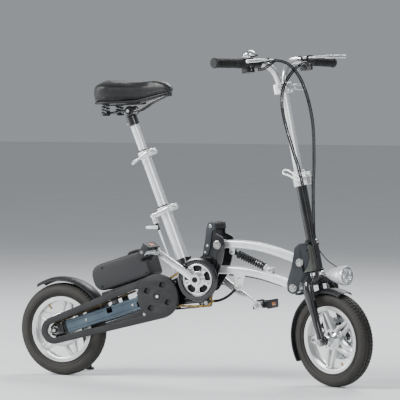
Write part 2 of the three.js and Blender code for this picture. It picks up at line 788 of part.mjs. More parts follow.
// ---------------------------------------------------------------- head bracket
// Block with a plan outline in (forward, left), extruded along the frame's own +z.
function slab(points, z0, z1) {
  const g = new THREE.ExtrudeGeometry(outline(points), { depth: z1 - z0, bevelEnabled: false, curveSegments: 1 });
  g.translate(0, 0, z0);
  return solid(g);
}
const HEAD = { low: 222, top: 315, bore: 16.4 };
const cheek = [[856, 452, 10], [872, 466, 12], [896, 470, 8], [908, 420, 4], [894, 376, 8], [874, 342, 10], [869, 308, 12],
  [850, 299, 18], [831, 310, 14], [830, 338, 10], [846, 392, 10]];
const cheeks = [-1, 1].map((s) => plate(cheek, s < 0 ? -PLATE_OUT : PLATE_IN, s < 0 ? -PLATE_IN : PLATE_OUT));
const wedge = [[-34, -42], [-22, -42], [8, -20], [8, 20], [-22, 42], [-34, 42], [-34, 36], [-25, 36], [-8, 21], [-8, -21],
  [-25, -36], [-34, -36]];
add(
  "head_bracket",
  cut(
    join(
      ...cheeks,
      moved(join(slab(wedge, 226, 312), rod([0, 0, HEAD.low], [0, 0, HEAD.top], 21, 28)), headMatrix),
      box([866, 0, 301], [16, 78, 7]),
      pinCollars(FRONT_UPPER),
      pinCollars(FRONT_LOWER),
    ),
    moved(rod([0, 0, 100], [0, 0, 400], HEAD.bore, 24), headMatrix),
  ),
  "graphite",
);

// ---------------------------------------------------------------- steered parts, in the steered frame
const [FX, FZ] = FRONT_AXLE;
const LEG_Y = 60;
const forkLeg = (s) =>
  join(
    pipe([[0, s * 40, 196], [2, s * 55, 184], [5, s * LEG_Y, 150], [12, s * LEG_Y, 60], [FX, s * LEG_Y, FZ + 8]], 13, 7, 10),
    cross([FX, FZ], 15, s * LEG_Y - 8, s * LEG_Y + 8, 16),
  );
const caliper = cut(
  join(box([FX - 46, 38, FZ + 52], [34, 26, 46], -42), box([FX - 26, 54, FZ + 52], [40, 10, 24])),
  turned(FRONT_AXLE, [[0, 26], [72, 26], [72, 32.5], [0, 32.5]], 32),
);
add(
  "fork",
  join(
    forkLeg(-1),
    forkLeg(1),
    slab([[-15, -46, 8], [16, -46, 8], [24, 0, 6], [16, 46, 8], [-15, 46, 8], [-24, 0, 6]], 180, 206),
    rod([0, 0, 200], [0, 0, 209], 24, 24),
    cross([FX, FZ], 6, -76, 76, 14),
    caliper,
    box([32, 0, 183], [36, 22, 6]),
  ),
  "black",
  steerMatrix,
);
const frontGuardRing = turned(
  FRONT_AXLE,
  [[163, -35], [168, -21], [168, 21], [163, 35], [161, 34], [165, 20], [165, -20], [161, -34], [163, -35]],
  64,
);
add(
  "front_mudguard",
  join(sector(frontGuardRing, FRONT_AXLE, 58, 198, 260), rod([4, 0, FZ + 164], [4, 0, 179.3], 9, 12)),
  "plastic",
  steerMatrix,
);
// Headlight: shell on a short bracket, level with the ground.
const LAMP = [127, 190];
const lampAt = (d) => [LAMP[0] - d * Math.cos(rad(12)), 0, LAMP[1] + d * Math.sin(rad(12))];
add(
  "headlight_shell",
  cut(
    join(
      rod(lampAt(86), lampAt(70), 9, 20, 17),
      rod(lampAt(70.2), lampAt(22), 17, 20, 31),
      rod(lampAt(22.2), lampAt(0), 33, 28),
      box([66, 0, 183], [26, 22, 12]),
    ),
    rod(lampAt(14), lampAt(-2), 29.6, 24),
  ),
  "satin",
  steerMatrix,
);
add("headlight_lens", rod(lampAt(13.6), lampAt(-1.5), 29.2, 24), "lens", steerMatrix);

// Telescoping column.
const COLUMN = { steerer0: 209.4, tube0: 318.6, tube1: 515, upper0: 395, upper1: 838 };
add(
  "column_lower",
  cut(
    join(
      rod([0, 0, COLUMN.steerer0], [0, 0, 330], 15, 24),
      rod([0, 0, COLUMN.steerer0], [0, 0, HEAD.low - 0.4], 24, 28),
      rod([0, 0, COLUMN.tube0], [0, 0, COLUMN.tube1], 18, 28),
      rod([0, 0, COLUMN.tube0], [0, 0, 324], 24, 24),
    ),
    rod([0, 0, 332], [0, 0, 600], 14.3, 28),
  ),
  "black",
  steerMatrix,
);
add(
  "column_clamp",
  cut(
    join(quickClamp(527, 23, 13, 46), ringOf(21, 13, 538, 556, 24)),
    rod([0, 0, 480], [0, 0, 570], 14.3, 28),
    rod([0, 0, 480], [0, 0, 515.3], 18.3, 28),
  ),
  "satin",
  steerMatrix,
);
add("column_lever", quickLever(527, 23, 66, 32), "polished", steerMatrix);
add(
  "column_upper",
  cut(
    join(
      rod([0, 0, COLUMN.upper0], [0, 0, COLUMN.upper1], 14, 28),
      slab([[-17, -31, 6], [17, -31, 6], [17, 31, 6], [-17, 31, 6]], 812, 846),
      box([24, -9, 829], [22, 7, 26]),
      box([24, 9, 829], [22, 7, 26]),
    ),
    rod([27, -40, 829], [27, 40, 829], 4, 10),
    ...[-1, 1].map((s) => rod([0, s * 15, 824], [0, s * 15, 900], 12.4, 18)),
  ),
  "polished",
  steerMatrix,
);
add(
  "bar_lever",
  join(
    rod([27, -20, 829], [27, 22, 829], 3.5, 10),
    rod([27, -20, 829], [27, -13, 829], 8, 6),
    rod([27, 13, 829], [27, 24, 829], 8, 12),
    rod([27, 20, 829], [35, 56, 824], 4.5, 10),
    rod([35, 56, 820], [35, 56, 828], 9, 12),
  ),
  "polished",
  steerMatrix,
);
// The bar is mounted a little out of level: its right end rises and its left end drops.
const BAR = { z: 917, bend: 84, end: 285, rise: 0.09 };
const barHeight = (s, y) => BAR.z - s * (y - BAR.bend) * BAR.rise;
const barPoint = (s, y, lift = 0, fore = 0) => [-4 - (y - BAR.bend) * 0.06 + fore, s * y, barHeight(s, y) + lift];
function sleeve(s, y0, y1, r, inner, seg = 18) {
  return cut(
    rod(barPoint(s, y0), barPoint(s, y1), r, seg),
    rod(barPoint(s, y0 - 30), barPoint(s, y1 + 30), inner, seg),
  );
}
// Where each hand's controls sit, as distances from the middle of the bike.
const HANDS = [
  { s: -1, hand: "right", band: [88, 154], lever: 88, box: 136, tip: 208, fore: 70 },
  { s: 1, hand: "left", band: [112, 164], lever: 124, box: 146, tip: 256, fore: 78 },
];
for (const { s, hand, band, lever, box: boxAt, tip: tipAt, fore } of HANDS) {
  const swan = [[0, s * 15, 825], [0, s * 15, 850], [-1, s * 27, 886], [-3, s * 54, 910], barPoint(s, BAR.bend)];
  add(
    "bar_" + hand,
    join(pipe(swan, 11, 8, 12), rod(barPoint(s, BAR.bend - 4), barPoint(s, BAR.end), 11, 18)),
    "polished",
    steerMatrix,
  );
  // Perch with its band round the bar, and the switch box under it.
  const bore = [rod(barPoint(s, 74), barPoint(s, 220), 11.6, 18), pipe(swan, 12.2, 8, 12)];
  const perch = join(
    sleeve(s, band[0], band[1], 16, 11.3),
    cut(box(barPoint(s, boxAt, -18, -4), [30, 34, 28]), ...bore),
    cut(box(barPoint(s, lever, 4, 24), [34, 26, 14]), ...bore),
  );
  const slot = box(barPoint(s, lever, 4, 40), [28, 60, 6.6]);
  const pivot = barPoint(s, lever, 4, 36);
  const up = (p, d) => [p[0], p[1], p[2] + d];
  const pinBore = rod(up(pivot, -20), up(pivot, 20), 3.3, 10);
  add("control_" + hand, cut(perch, slot, pinBore), "plastic", steerMatrix);
  // The blade stays in one level plane of the column, so that it turns inside its slot.
  const blade = (y, out) => [barPoint(s, y, 0, out)[0], s * y, pivot[2]];
  const elbow = blade(lever + 24, 51);
  const tip = blade(tipAt, fore);
  add(
    "brake_lever_" + hand,
    join(
      rod(up(pivot, -8), up(pivot, 8), 3, 10),
      rod(up(pivot, -3), up(pivot, 3), 7, 12),
      rod(pivot, elbow, 3, 8),
      rod(elbow, tip, 3, 8),
      rod(up(elbow, -3), up(elbow, 3), 5, 10),
      rod(blade(tipAt - 4, fore), blade(tipAt + 5, fore), 6.5, 12),
    ),
    "polished",
    steerMatrix,
  );
}
const flange = (s) =>
  cut(
    rod(barPoint(s, BAR.end - 5), barPoint(s, BAR.end + 3), 17, 20),
    rod(barPoint(s, BAR.end - 20), barPoint(s, BAR.end + 0.4), 11.3, 18),
  );
add("grip_right", join(sleeve(-1, 184.6, BAR.end + 1, 15.5, 11.3), flange(-1)), "rubber", steerMatrix);
add("throttle_grip", sleeve(-1, 155, 184, 16.8, 12.2), "rubber", steerMatrix);
add("grip_left", join(sleeve(1, 165, BAR.end + 1, 15.5, 11.3), flange(1)), "rubber", steerMatrix);
// The bell sits on the switch housing with half a band.
const BELL = 128;
add(
  "bell",
  join(
    cut(sleeve(-1, BELL - 7, BELL + 7, 19.5, 16.4), box(barPoint(-1, BELL, -15), [60, 20, 30])),
    rod(barPoint(-1, BELL, 18), barPoint(-1, BELL, 26), 6, 10),
    rod(barPoint(-1, BELL, 25), barPoint(-1, BELL, 32), 22, 20),
    rod(barPoint(-1, BELL, 31.8), barPoint(-1, BELL, 42), 22, 20, 10),
  ),
  "polished",
  steerMatrix,
);
// Two cable runs, from the perches over the bar and down in front of the column to the crown.
const rightRun = [[10, -114, 897], [30, -104, 897], [46, -88, 908], [52, -59, 916], [54, -3, 893], [52, 42, 827], [52, 54, 710],
  [50, 28, 580], [46, 2, 483], [42, -33, 322], [38, -33, 250], [22, -30, 207]];
const leftRun = [[17, 124, 884], [34, 104, 890], [46, 72, 900], [56, 8, 880], [56, -53, 834], [54, -76, 786], [52, -79, 721],
  [50, -63, 621], [48, -49, 554], [44, -38, 454], [42, -36, 356], [38, -34, 262]];
add("cables", join(pipe(rightRun, 5, 22, 6), pipe(leftRun, 5, 22, 6)), "rubber", steerMatrix);

bike.position.set(...MIDDLE).negate();
export default bike;
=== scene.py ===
# %% [markdown]
# # A folding mini bike, piece by piece
# The exact model is the fixed frame: every piece below takes its place from it and rides on one of
# its bodies. Sizes are written in millimetres, as on a workshop drawing, and scaled when a mesh is made.

# %% Load the fixed frame
import json
import math
import bmesh
import bpy
from mathutils import Matrix, Vector


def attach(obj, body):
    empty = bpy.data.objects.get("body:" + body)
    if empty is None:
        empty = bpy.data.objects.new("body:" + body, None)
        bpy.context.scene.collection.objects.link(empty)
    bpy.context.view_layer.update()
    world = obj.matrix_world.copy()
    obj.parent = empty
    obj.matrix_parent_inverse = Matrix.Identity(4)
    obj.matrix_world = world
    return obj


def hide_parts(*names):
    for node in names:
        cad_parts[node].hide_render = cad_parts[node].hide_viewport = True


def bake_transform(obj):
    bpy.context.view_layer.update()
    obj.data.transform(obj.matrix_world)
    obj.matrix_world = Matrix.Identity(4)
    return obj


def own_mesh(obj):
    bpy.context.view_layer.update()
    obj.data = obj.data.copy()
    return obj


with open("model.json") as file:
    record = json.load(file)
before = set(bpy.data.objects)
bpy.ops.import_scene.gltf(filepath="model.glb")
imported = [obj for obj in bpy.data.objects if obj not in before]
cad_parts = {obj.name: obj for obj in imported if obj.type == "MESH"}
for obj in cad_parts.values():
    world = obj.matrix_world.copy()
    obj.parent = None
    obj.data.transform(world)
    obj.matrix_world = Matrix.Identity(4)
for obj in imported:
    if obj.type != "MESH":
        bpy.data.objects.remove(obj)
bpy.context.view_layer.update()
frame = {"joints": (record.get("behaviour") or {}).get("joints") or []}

# %% [markdown]
# ## Where things turn
# The side view uses (x, z) points with y across the bike. The steered parts and the seat column have
# frames of their own, so a clamp on a tilted tube can be drawn upright and then moved as a whole.

# %% Side-view points and tilted frames
crank_at = next(j for j in frame["joints"] if j["name"] == "crank_spin")["pos_m"]
MM = Matrix.Translation((crank_at[0] - 0.528, crank_at[1], crank_at[2] - 0.342)) @ Matrix.Scale(0.001, 4)
WORLD = Matrix.Identity(4)
AXLE, JACK, CRANK, JOCKEY = (0, 156), (385, 282), (528, 342), (557, 266)
REAR_UPPER, REAR_LOWER = (582, 455), (559, 371)
FRONT_UPPER, FRONT_LOWER = (874, 404.5), (851, 320.5)
SHOCK_UP, SHOCK_LOW = (622.7, 431), (756.2, 375.5)
FRONT_AXLE = (18, -3.4)  # in the steered frame
CRANK_LEN, ARM_Y = 170, 94
HEAD_LEAN, STEER_TURN, SEAT_LEAN = 11.4, 20, 21.88  # degrees


def leaned(place, lean):
    """A frame at a place in side view whose z leans back."""
    return Matrix.Translation((place[0], 0, place[1])) @ Matrix.Rotation(-math.radians(lean), 4, "Y")


HEAD = leaned((962.6, 156), HEAD_LEAN)
STEER = HEAD @ Matrix.Rotation(-math.radians(STEER_TURN), 4, "Z")
SEAT = leaned((474.5, 318.8), SEAT_LEAN)
ARM_TILT = math.degrees(math.atan2(JACK[1] - AXLE[1], JACK[0] - AXLE[0]))
ARM = leaned(AXLE, ARM_TILT)


def polar(c, r, deg):
    return (c[0] + r * math.cos(math.radians(deg)), c[1] + r * math.sin(math.radians(deg)))


def circle(c, r, count=24):
    """Outline of a round hole or disc, as (x, z, corner radius) points."""
    return [(*polar(c, r, 360 / count * k), 0) for k in range(count)]


def span(s, a, b):
    """The stretch from a to b on side s of the bike, lower end first."""
    return sorted((s * a, s * b))


# %% [markdown]
# ## Building bits
# A *bit* is one closed mesh with one material. Blender's primitives would do for each, but a lathe, a
# plate cut from a curve with a rounded edge, a bevelled block and a swept tube cover nearly all of a
# bicycle, and every edge then catches the light as a real machined or moulded edge does.

# %% Scene helpers
def placed(name, data):
    """An object in the scene that shows the mesh, curve or light."""
    obj = bpy.data.objects.new(name, data)
    bpy.context.scene.collection.objects.link(obj)
    return obj


def worked_mesh(obj):
    """The object's mesh with its modifiers or its curve worked in."""
    return bpy.data.meshes.new_from_object(obj.evaluated_get(bpy.context.evaluated_depsgraph_get()))


def joined(bits):
    """Joins bits into the first of them."""
    with bpy.context.temp_override(active_object=bits[0], selected_editable_objects=bits):
        bpy.ops.object.join()
    return bits[0]


def route_curve(points, cyclic=False):
    """A curve in space with straight stretches between its points."""
    curve = bpy.data.curves.new("route", "CURVE")
    curve.dimensions = "3D"
    spline = curve.splines.new("POLY")
    spline.points.add(len(points) - 1)
    spline.use_cyclic_u = cyclic
    for p, co in zip(spline.points, points):
        p.co = (*co, 1)
    return placed("route", curve)


# %% Bits: meshes, lathes, rods
def finish_mesh(mesh, material, at=WORLD, crease=35):
    """Merges, turns outwards, scales to metres and shades one closed mesh."""
    bm = bmesh.new()
    bm.from_mesh(mesh)
    bmesh.ops.remove_doubles(bm, verts=bm.verts, dist=0.002)
    bmesh.ops.recalc_face_normals(bm, faces=bm.faces)
    bm.to_mesh(mesh)
    bm.free()
    mesh.transform(MM @ at)
    if at.determinant() < 0:
        mesh.flip_normals()
    mesh.materials.clear()
    mesh.materials.append(material)
    mesh.shade_smooth()
    mesh.set_sharp_from_angle(angle=math.radians(crease))
    return placed("bit", mesh)


def mesh_bit(verts, faces, material, at=WORLD, crease=35):
    """A bit from points and faces."""
    mesh = bpy.data.meshes.new("bit")
    mesh.from_pydata(verts, [], faces)
    return finish_mesh(mesh, material, at, crease)


def lathe(profile, start, axis, material, at=WORLD, seg=64, hexed=(), crease=35):
    """Turns (radius, height) points round an axis. Rows listed in hexed are six-sided."""
    w = Vector(axis).normalized()
    u = w.orthogonal().normalized()
    v = w.cross(u)
    origin = Vector(start)
    closed = profile[0] == profile[-1]
    rows = profile[:-1] if closed else profile
    verts, rings = [], []
    for i, (r, h) in enumerate(rows):
        if r < 1e-6:
            rings.append([len(verts)] * seg)
            verts.append(origin + w * h)
            continue
        rings.append(list(range(len(verts), len(verts) + seg)))
        for j in range(seg):
            a = 2 * math.pi * j / seg
            k = 1.0
            if i in hexed:
                k = math.cos(math.pi / 6) / math.cos((a % (math.pi / 3)) - math.pi / 6)
            verts.append(origin + w * h + (u * math.cos(a) + v * math.sin(a)) * r * k)
    faces = []
    pairs = list(zip(rings, rings[1:])) + ([(rings[-1], rings[0])] if closed else [])
    for low, high in pairs:
        for j in range(seg):
            n = (j + 1) % seg
            face = []
            for k in (low[j], low[n], high[n], high[j]):
                if k not in face:
                    face.append(k)
            if len(face) > 2:
                faces.append(face)
    return mesh_bit(verts, faces, material, at, crease)


def turned(c, profile, material, at=WORLD, seg=64, hexed=()):
    """A body of revolution across the bike: the profile is (radius, y)."""
    return lathe(profile, (c[0], 0, c[1]), (0, 1, 0), material, at, seg, hexed)


def band(c, inner, outer, y0, y1, material, at=WORLD, seg=64):
    """A square-edged ring across the bike."""
    return turned(c, [(inner, y0), (outer, y0), (outer, y1), (inner, y1), (inner, y0)], material, at, seg)


def nut(place, way, r, tall, chamfer, at=WORLD):
    """A hexagon nut that faces the given way."""
    profile = [(0, 0), (r, 0), (r, tall), (r - chamfer, tall + 1), (0, tall + 1)]
    return lathe(profile, place, way, ZINC, at, 24, (1, 2, 3))


def rod(a, b, r, material, at=WORLD, r2=None, edge=0.6, seg=32):
    """A round bar with chamfered ends."""
    r2 = r if r2 is None else r2
    d = Vector(b) - Vector(a)
    length = d.length
    e = min(edge, 0.4 * length, 0.8 * min(r, r2))
    profile = [(0, 0), (r - e, 0), (r, e), (r2, length - e), (r2 - e, length), (0, length)]
    return lathe(profile, a, d, material, at, seg)


def cross(c, r, y0, y1, material, at=WORLD, edge=0.6, seg=40):
    """A round bar across the bike."""
    return rod((c[0], y0, c[1]), (c[0], y1, c[1]), r, material, at, edge=edge, seg=seg)


def ring(a, b, r, inner, material, at=WORLD, edge=0.5, seg=48):
    """A tube with wall: closed profile round its bore."""
    d = Vector(b) - Vector(a)
    n = d.length
    p = [(inner, 0), (r - edge, 0), (r, edge), (r, n - edge), (r - edge, n), (inner, n), (inner, 0)]
    return lathe(p, a, d, material, at, seg)


# %% Bits: plates, blocks, tubes
def rounded(points, steps=5):
    """Outline of (x, z, corner radius) points with true arcs at the corners."""
    out = []
    n = len(points)
    for i, p in enumerate(points):
        at = Vector(p[:2])
        radius = p[2] if len(p) > 2 else 0
        before = Vector(points[i - 1][:2]) - at
        after = Vector(points[(i + 1) % n][:2]) - at
        turn = before.angle(after)
        if not radius or turn > 3.1:
            out.append(at)
            continue
        reach = min(radius / math.tan(turn / 2), 0.48 * before.length, 0.48 * after.length)
        a = at + before.normalized() * reach
        b = at + after.normalized() * reach
        for k in range(steps + 1):
            t = k / steps
            out.append(a * (1 - t) ** 2 + at * 2 * t * (1 - t) + b * t * t)
    return out


def area(loop):
    """Signed area: positive when the outline runs anticlockwise."""
    return sum(a[0] * b[1] - b[0] * a[1] for a, b in zip(loop, loop[1:] + loop[:1])) / 2


def plate(outline, y0, y1, material, holes=(), bevel=1.0, at=WORLD, crease=35):
    """A flat plate in side view with holes and rounded edges, made by filling a curve."""
    curve = bpy.data.curves.new("plate", "CURVE")
    curve.dimensions = "2D"
    curve.fill_mode = "BOTH"
    for k, loop in enumerate([outline, *holes]):
        points = rounded(loop)
        if (area(points) > 0) != (k == 0):
            points.reverse()
        spline = curve.splines.new("POLY")
        spline.points.add(len(points) - 1)
        for p, co in zip(spline.points, points):
            p.co = (co[0], co[1], 0, 1)
        spline.use_cyclic_u = True
    curve.extrude = (y1 - y0) / 2 - bevel
    curve.bevel_depth = bevel
    curve.bevel_resolution = 2
    curve.offset = -bevel
    obj = placed("plate", curve)
    mesh = worked_mesh(obj)
    bpy.data.objects.remove(obj)
    mesh.transform(Matrix(((1, 0, 0, 0), (0, 0, -1, (y0 + y1) / 2), (0, 1, 0, 0), (0, 0, 0, 1))))
    return finish_mesh(mesh, material, at, crease)


def flat(outline, z0, z1, material, holes=(), bevel=1.0, at=WORLD):
    """The same plate lying down: its outline is (forward, left)."""
    turn = Matrix.Rotation(math.radians(-90), 4, "X")
    return plate(outline, -z1, -z0, material, holes, bevel, at @ turn)


def block(centre, size, material, tilt=0.0, bevel=1.5, at=WORLD, segments=2, taper=None):
    """A box with rounded edges; taper shrinks its +x end to shares (y, z)."""
    bm = bmesh.new()
    bmesh.ops.create_cube(bm, size=1)
    for v in bm.verts:
        v.co = Vector(v.co[i] * size[i] for i in range(3))
        if taper and v.co.x > 0:
            v.co.y *= taper[0]
            v.co.z *= taper[1]
    bevel = min(bevel, 0.45 * min(size))
    bmesh.ops.bevel(bm, geom=bm.edges, offset=bevel, segments=segments, profile=0.7, affect="EDGES")
    mesh = bpy.data.meshes.new("block")
    bm.to_mesh(mesh)
    bm.free()
    place = Matrix.Translation(centre) @ Matrix.Rotation(-math.radians(tilt), 4, "Y")
    return finish_mesh(mesh, material, at @ place)


def strut(a, b, size0, size1, material, at=WORLD, side=(0, 1, 0), bevel=1.5):
    """A tapered bar between two points; sizes are (along side, across)."""
    p, q = Vector(a), Vector(b)
    x = (q - p).normalized()
    y = (Vector(side) - x * Vector(side).dot(x)).normalized()
    z = x.cross(y)
    place = Matrix((x, y, z)).transposed().to_4x4()
    place.translation = (p + q) / 2
    big = (q - p).length, size0[0], size0[1]
    share = size1[0] / size0[0], size1[1] / size0[1]
    return block((0, 0, 0), big, material, 0, bevel, at @ place, taper=share)


def smooth_line(points, steps=6):
    """Catmull-Rom points through a route."""
    pts = [Vector(p) for p in points]
    pts = [2 * pts[0] - pts[1], *pts, 2 * pts[-1] - pts[-2]]
    out = []
    for a, b, c, d in zip(pts, pts[1:], pts[2:], pts[3:]):
        for k in range(steps):
            t = k / steps
            out.append(0.5 * (2 * b + (c - a) * t + (2 * a - 5 * b + 4 * c - d) * t * t
                              + (3 * b - a - 3 * c + d) * t ** 3))
    return out + [pts[-2]]


def tube(points, r, material, at=WORLD, steps=6, sides=4, radii=None, cyclic=False):
    """A round tube swept along a smooth route, closed at its ends."""
    line = smooth_line(points, steps) if steps else [Vector(p) for p in points]
    obj = route_curve(line, cyclic)
    curve = obj.data
    curve.bevel_depth = r
    curve.bevel_resolution = sides
    curve.use_fill_caps = True
    if radii:
        for i, p in enumerate(curve.splines[0].points):
            t = i / (len(line) - 1) * (len(radii) - 1)
            k = min(int(t), len(radii) - 2)
            p.radius = radii[k] + (radii[k + 1] - radii[k]) * (t - k)
    mesh = worked_mesh(obj)
    bpy.data.objects.remove(obj)
    return finish_mesh(mesh, material, at, 50)


# %% [markdown]
# ## From bits to a piece
# A piece is what a mechanic would call one part. Its bits are joined into one mesh, which then rides
# on its body and stands for the plain solids of the exact model.

# %% Join bits into a piece
def piece(name, body, slot, bits, *nodes):
    """Joins bits and puts the piece on its body; nodes are the plain solids it stands for."""
    obj = joined(bits)
    obj.name = obj.data.name = name
    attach(obj, body)
    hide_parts(*nodes)
    print(f"{name}: {len(obj.data.polygons)} faces on {body}")
    return obj

# %% [markdown]
# ## Repeats with geometry nodes
# Teeth, tread blocks, bolts, chain links, grip ribs and springs all follow a rule, so node trees place
# them. Copying meshes in a Python loop would do the same, but a tree states the rule once with named
# sizes. Each tree ends in real geometry, because instances would be lost on export.

# %% One node helper, shared by geometry and material trees
def add(tree, kind, settings=None, sockets=None):
    """Adds a node; sockets maps an input's name or index to a value or to another node's output."""
    node = tree.nodes.new(kind)
    for key, value in (settings or {}).items():
        setattr(node, key, value)
    for key, value in (sockets or {}).items():
        if isinstance(value, bpy.types.NodeSocket):
            tree.links.new(value, node.inputs[key])
        else:
            node.inputs[key].default_value = value
    return node


def new_tree(name, inputs):
    """A geometry tree with its inputs, given as (label, socket kind)."""
    tree = bpy.data.node_groups.new(name, "GeometryNodeTree")
    for label, kind in inputs:
        tree.interface.new_socket(label, in_out="INPUT", socket_type=kind)
    tree.interface.new_socket("Geometry", in_out="OUTPUT", socket_type="NodeSocketGeometry")
    start = add(tree, "NodeGroupInput")
    return tree, start.outputs


def close_tree(tree, geometry, material):
    """Ends a tree in real geometry with one material."""
    real = add(tree, "GeometryNodeRealizeInstances", sockets={"Geometry": geometry})
    paint = add(tree, "GeometryNodeSetMaterial", sockets={"Geometry": real.outputs[0], "Material": material})
    add(tree, "NodeGroupOutput", sockets={"Geometry": paint.outputs[0]})


def grow(tree, values, material, at=WORLD, base=None, crease=35):
    """Runs a tree on an object, makes its result a plain bit and clears the helpers away."""
    host = placed("host", base or bpy.data.meshes.new("host"))
    mod = host.modifiers.new("nodes", "NODES")
    mod.node_group = tree
    ids = {i.name: i.identifier for i in tree.interface.items_tree if i.in_out == "INPUT"}
    for label, value in {**values, "Material": material}.items():
        mod[ids[label]] = value
    mesh = worked_mesh(host)
    host.modifiers.remove(mod)
    bpy.data.objects.remove(host)
    for value in values.values():
        if isinstance(value, bpy.types.Object):
            bpy.data.objects.remove(value)
    return finish_mesh(mesh, material, at, crease)


# %% [markdown]
# Spokes, teeth and tread blocks all stand at equal angles, so one tree turns a single copy round.

# %% Tree: copies in a ring round the cross axis
ROUND, g = new_tree("copies in a ring", [("Item", "NodeSocketObject"), ("Count", "NodeSocketInt"),
                                         ("Start", "NodeSocketFloat"), ("Material", "NodeSocketMaterial")])
points = add(ROUND, "GeometryNodePoints", sockets={"Count": g["Count"]})
index = add(ROUND, "GeometryNodeInputIndex")
step = add(ROUND, "ShaderNodeMath", {"operation": "DIVIDE"}, {0: 2 * math.pi, 1: g["Count"]})
angle = add(ROUND, "ShaderNodeMath", {"operation": "MULTIPLY_ADD"},
            {0: index.outputs[0], 1: step.outputs[0], 2: g["Start"]})
turn = add(ROUND, "ShaderNodeCombineXYZ", sockets={"Y": angle.outputs[0]})
item = add(ROUND, "GeometryNodeObjectInfo", sockets={"Object": g["Item"]})
copies = add(ROUND, "GeometryNodeInstanceOnPoints",
             sockets={"Points": points.outputs[0], "Instance": item.outputs["Geometry"],
                      "Rotation": turn.outputs[0]})
close_tree(ROUND, copies.outputs[0], g["Material"])

# %% [markdown]
# A chain or a row of ribs keeps an even pitch along its route, so the tree resamples the route and
# turns each copy along it.

# %% Tree: copies along a flat route in side view
FOLLOW, g = new_tree("copies along a route", [("Path", "NodeSocketObject"), ("Item", "NodeSocketObject"),
                                              ("Count", "NodeSocketInt"), ("Material", "NodeSocketMaterial")])
path = add(FOLLOW, "GeometryNodeObjectInfo", sockets={"Object": g["Path"]})
even = add(FOLLOW, "GeometryNodeResampleCurve", sockets={"Curve": path.outputs["Geometry"],
                                                         "Count": g["Count"]})
tangent = add(FOLLOW, "GeometryNodeInputTangent")
parts = add(FOLLOW, "ShaderNodeSeparateXYZ", sockets={0: tangent.outputs[0]})
slope = add(FOLLOW, "ShaderNodeMath", {"operation": "ARCTAN2"},
            {0: parts.outputs["Z"], 1: parts.outputs["X"]})
back = add(FOLLOW, "ShaderNodeMath", {"operation": "MULTIPLY"}, {0: slope.outputs[0], 1: -1.0})
turn = add(FOLLOW, "ShaderNodeCombineXYZ", sockets={"Y": back.outputs[0]})
item = add(FOLLOW, "GeometryNodeObjectInfo", sockets={"Object": g["Item"]})
copies = add(FOLLOW, "GeometryNodeInstanceOnPoints",
             sockets={"Points": even.outputs[0], "Instance": item.outputs["Geometry"],
                      "Rotation": turn.outputs[0]})
close_tree(FOLLOW, copies.outputs[0], g["Material"])

# %% [markdown]
# A spring is a wire on a helix, which Blender's spiral curve gives directly.

# %% Tree: a coil spring standing on the origin along +z
COIL, g = new_tree("coil spring", [("Turns", "NodeSocketFloat"), ("Radius", "NodeSocketFloat"),
                                   ("Height", "NodeSocketFloat"), ("Wire", "NodeSocketFloat"),
                                   ("Material", "NodeSocketMaterial")])
helix = add(COIL, "GeometryNodeCurveSpiral",
            sockets={"Resolution": 28, "Rotations": g["Turns"], "Start Radius": g["Radius"],
                     "End Radius": g["Radius"], "Height": g["Height"]})
wire = add(COIL, "GeometryNodeCurvePrimitiveCircle", sockets={"Resolution": 12, "Radius": g["Wire"]})
coil = add(COIL, "GeometryNodeCurveToMesh", sockets={"Curve": helix.outputs[0],
                                                     "Profile Curve": wire.outputs[0], "Fill Caps": True})
close_tree(COIL, coil.outputs[0], g["Material"])

# %% [markdown]
# Bolt heads sit on marked points. Each point stores the way its bolt faces and its size.

# %% Tree: bolts on marked points, each facing its own way
BOLTS, g = new_tree("bolts on points", [("Geometry", "NodeSocketGeometry"), ("Item", "NodeSocketObject"),
                                        ("Material", "NodeSocketMaterial")])
facing = add(BOLTS, "GeometryNodeInputNamedAttribute", {"data_type": "FLOAT_VECTOR"}, {"Name": "facing"})
size = add(BOLTS, "GeometryNodeInputNamedAttribute", {"data_type": "FLOAT"}, {"Name": "size"})
turn = add(BOLTS, "FunctionNodeAlignEulerToVector", {"axis": "Z"}, {"Vector": facing.outputs[0]})
item = add(BOLTS, "GeometryNodeObjectInfo", sockets={"Object": g["Item"]})
copies = add(BOLTS, "GeometryNodeInstanceOnPoints",
             sockets={"Points": g["Geometry"], "Instance": item.outputs["Geometry"],
                      "Rotation": turn.outputs[0], "Scale": size.outputs[0]})
close_tree(BOLTS, copies.outputs[0], g["Material"])


# %% Using the trees
def raw(obj):
    """A finished bit back in millimetres, as the item a tree copies."""
    obj.data.transform(MM.inverted())
    return obj


def ring_of(item, count, c, material, at=WORLD, start=0.0):
    """Copies of a bit in a ring about c, the first turned by start degrees."""
    place = at @ Matrix.Translation((c[0], 0, c[1]))
    return grow(ROUND, {"Item": raw(item), "Count": count, "Start": -math.radians(start)}, material, place)


def spring(foot, top, radius, wire, turns, material, at=WORLD):
    """A coil spring between two points."""
    d = Vector(top) - Vector(foot)
    turn = Vector((0, 0, 1)).rotation_difference(d).to_matrix().to_4x4()
    place = at @ Matrix.Translation(foot) @ turn
    sizes = {"Turns": float(turns), "Radius": float(radius), "Height": d.length, "Wire": float(wire)}
    return grow(COIL, sizes, material, place, crease=60)


def socket_bolt(material):
    """Button-head bolt 10 mm across with a six-sided recess, facing +z."""
    profile = [(0, -1), (4.6, -1), (5, 0), (5, 1.2), (4.3, 2.4), (3.1, 2.9), (2.6, 2.9), (2.6, 1.2), (0, 1.2)]
    return lathe(profile, (0, 0, 0), (0, 0, 1), material, seg=24, hexed=(6, 7))


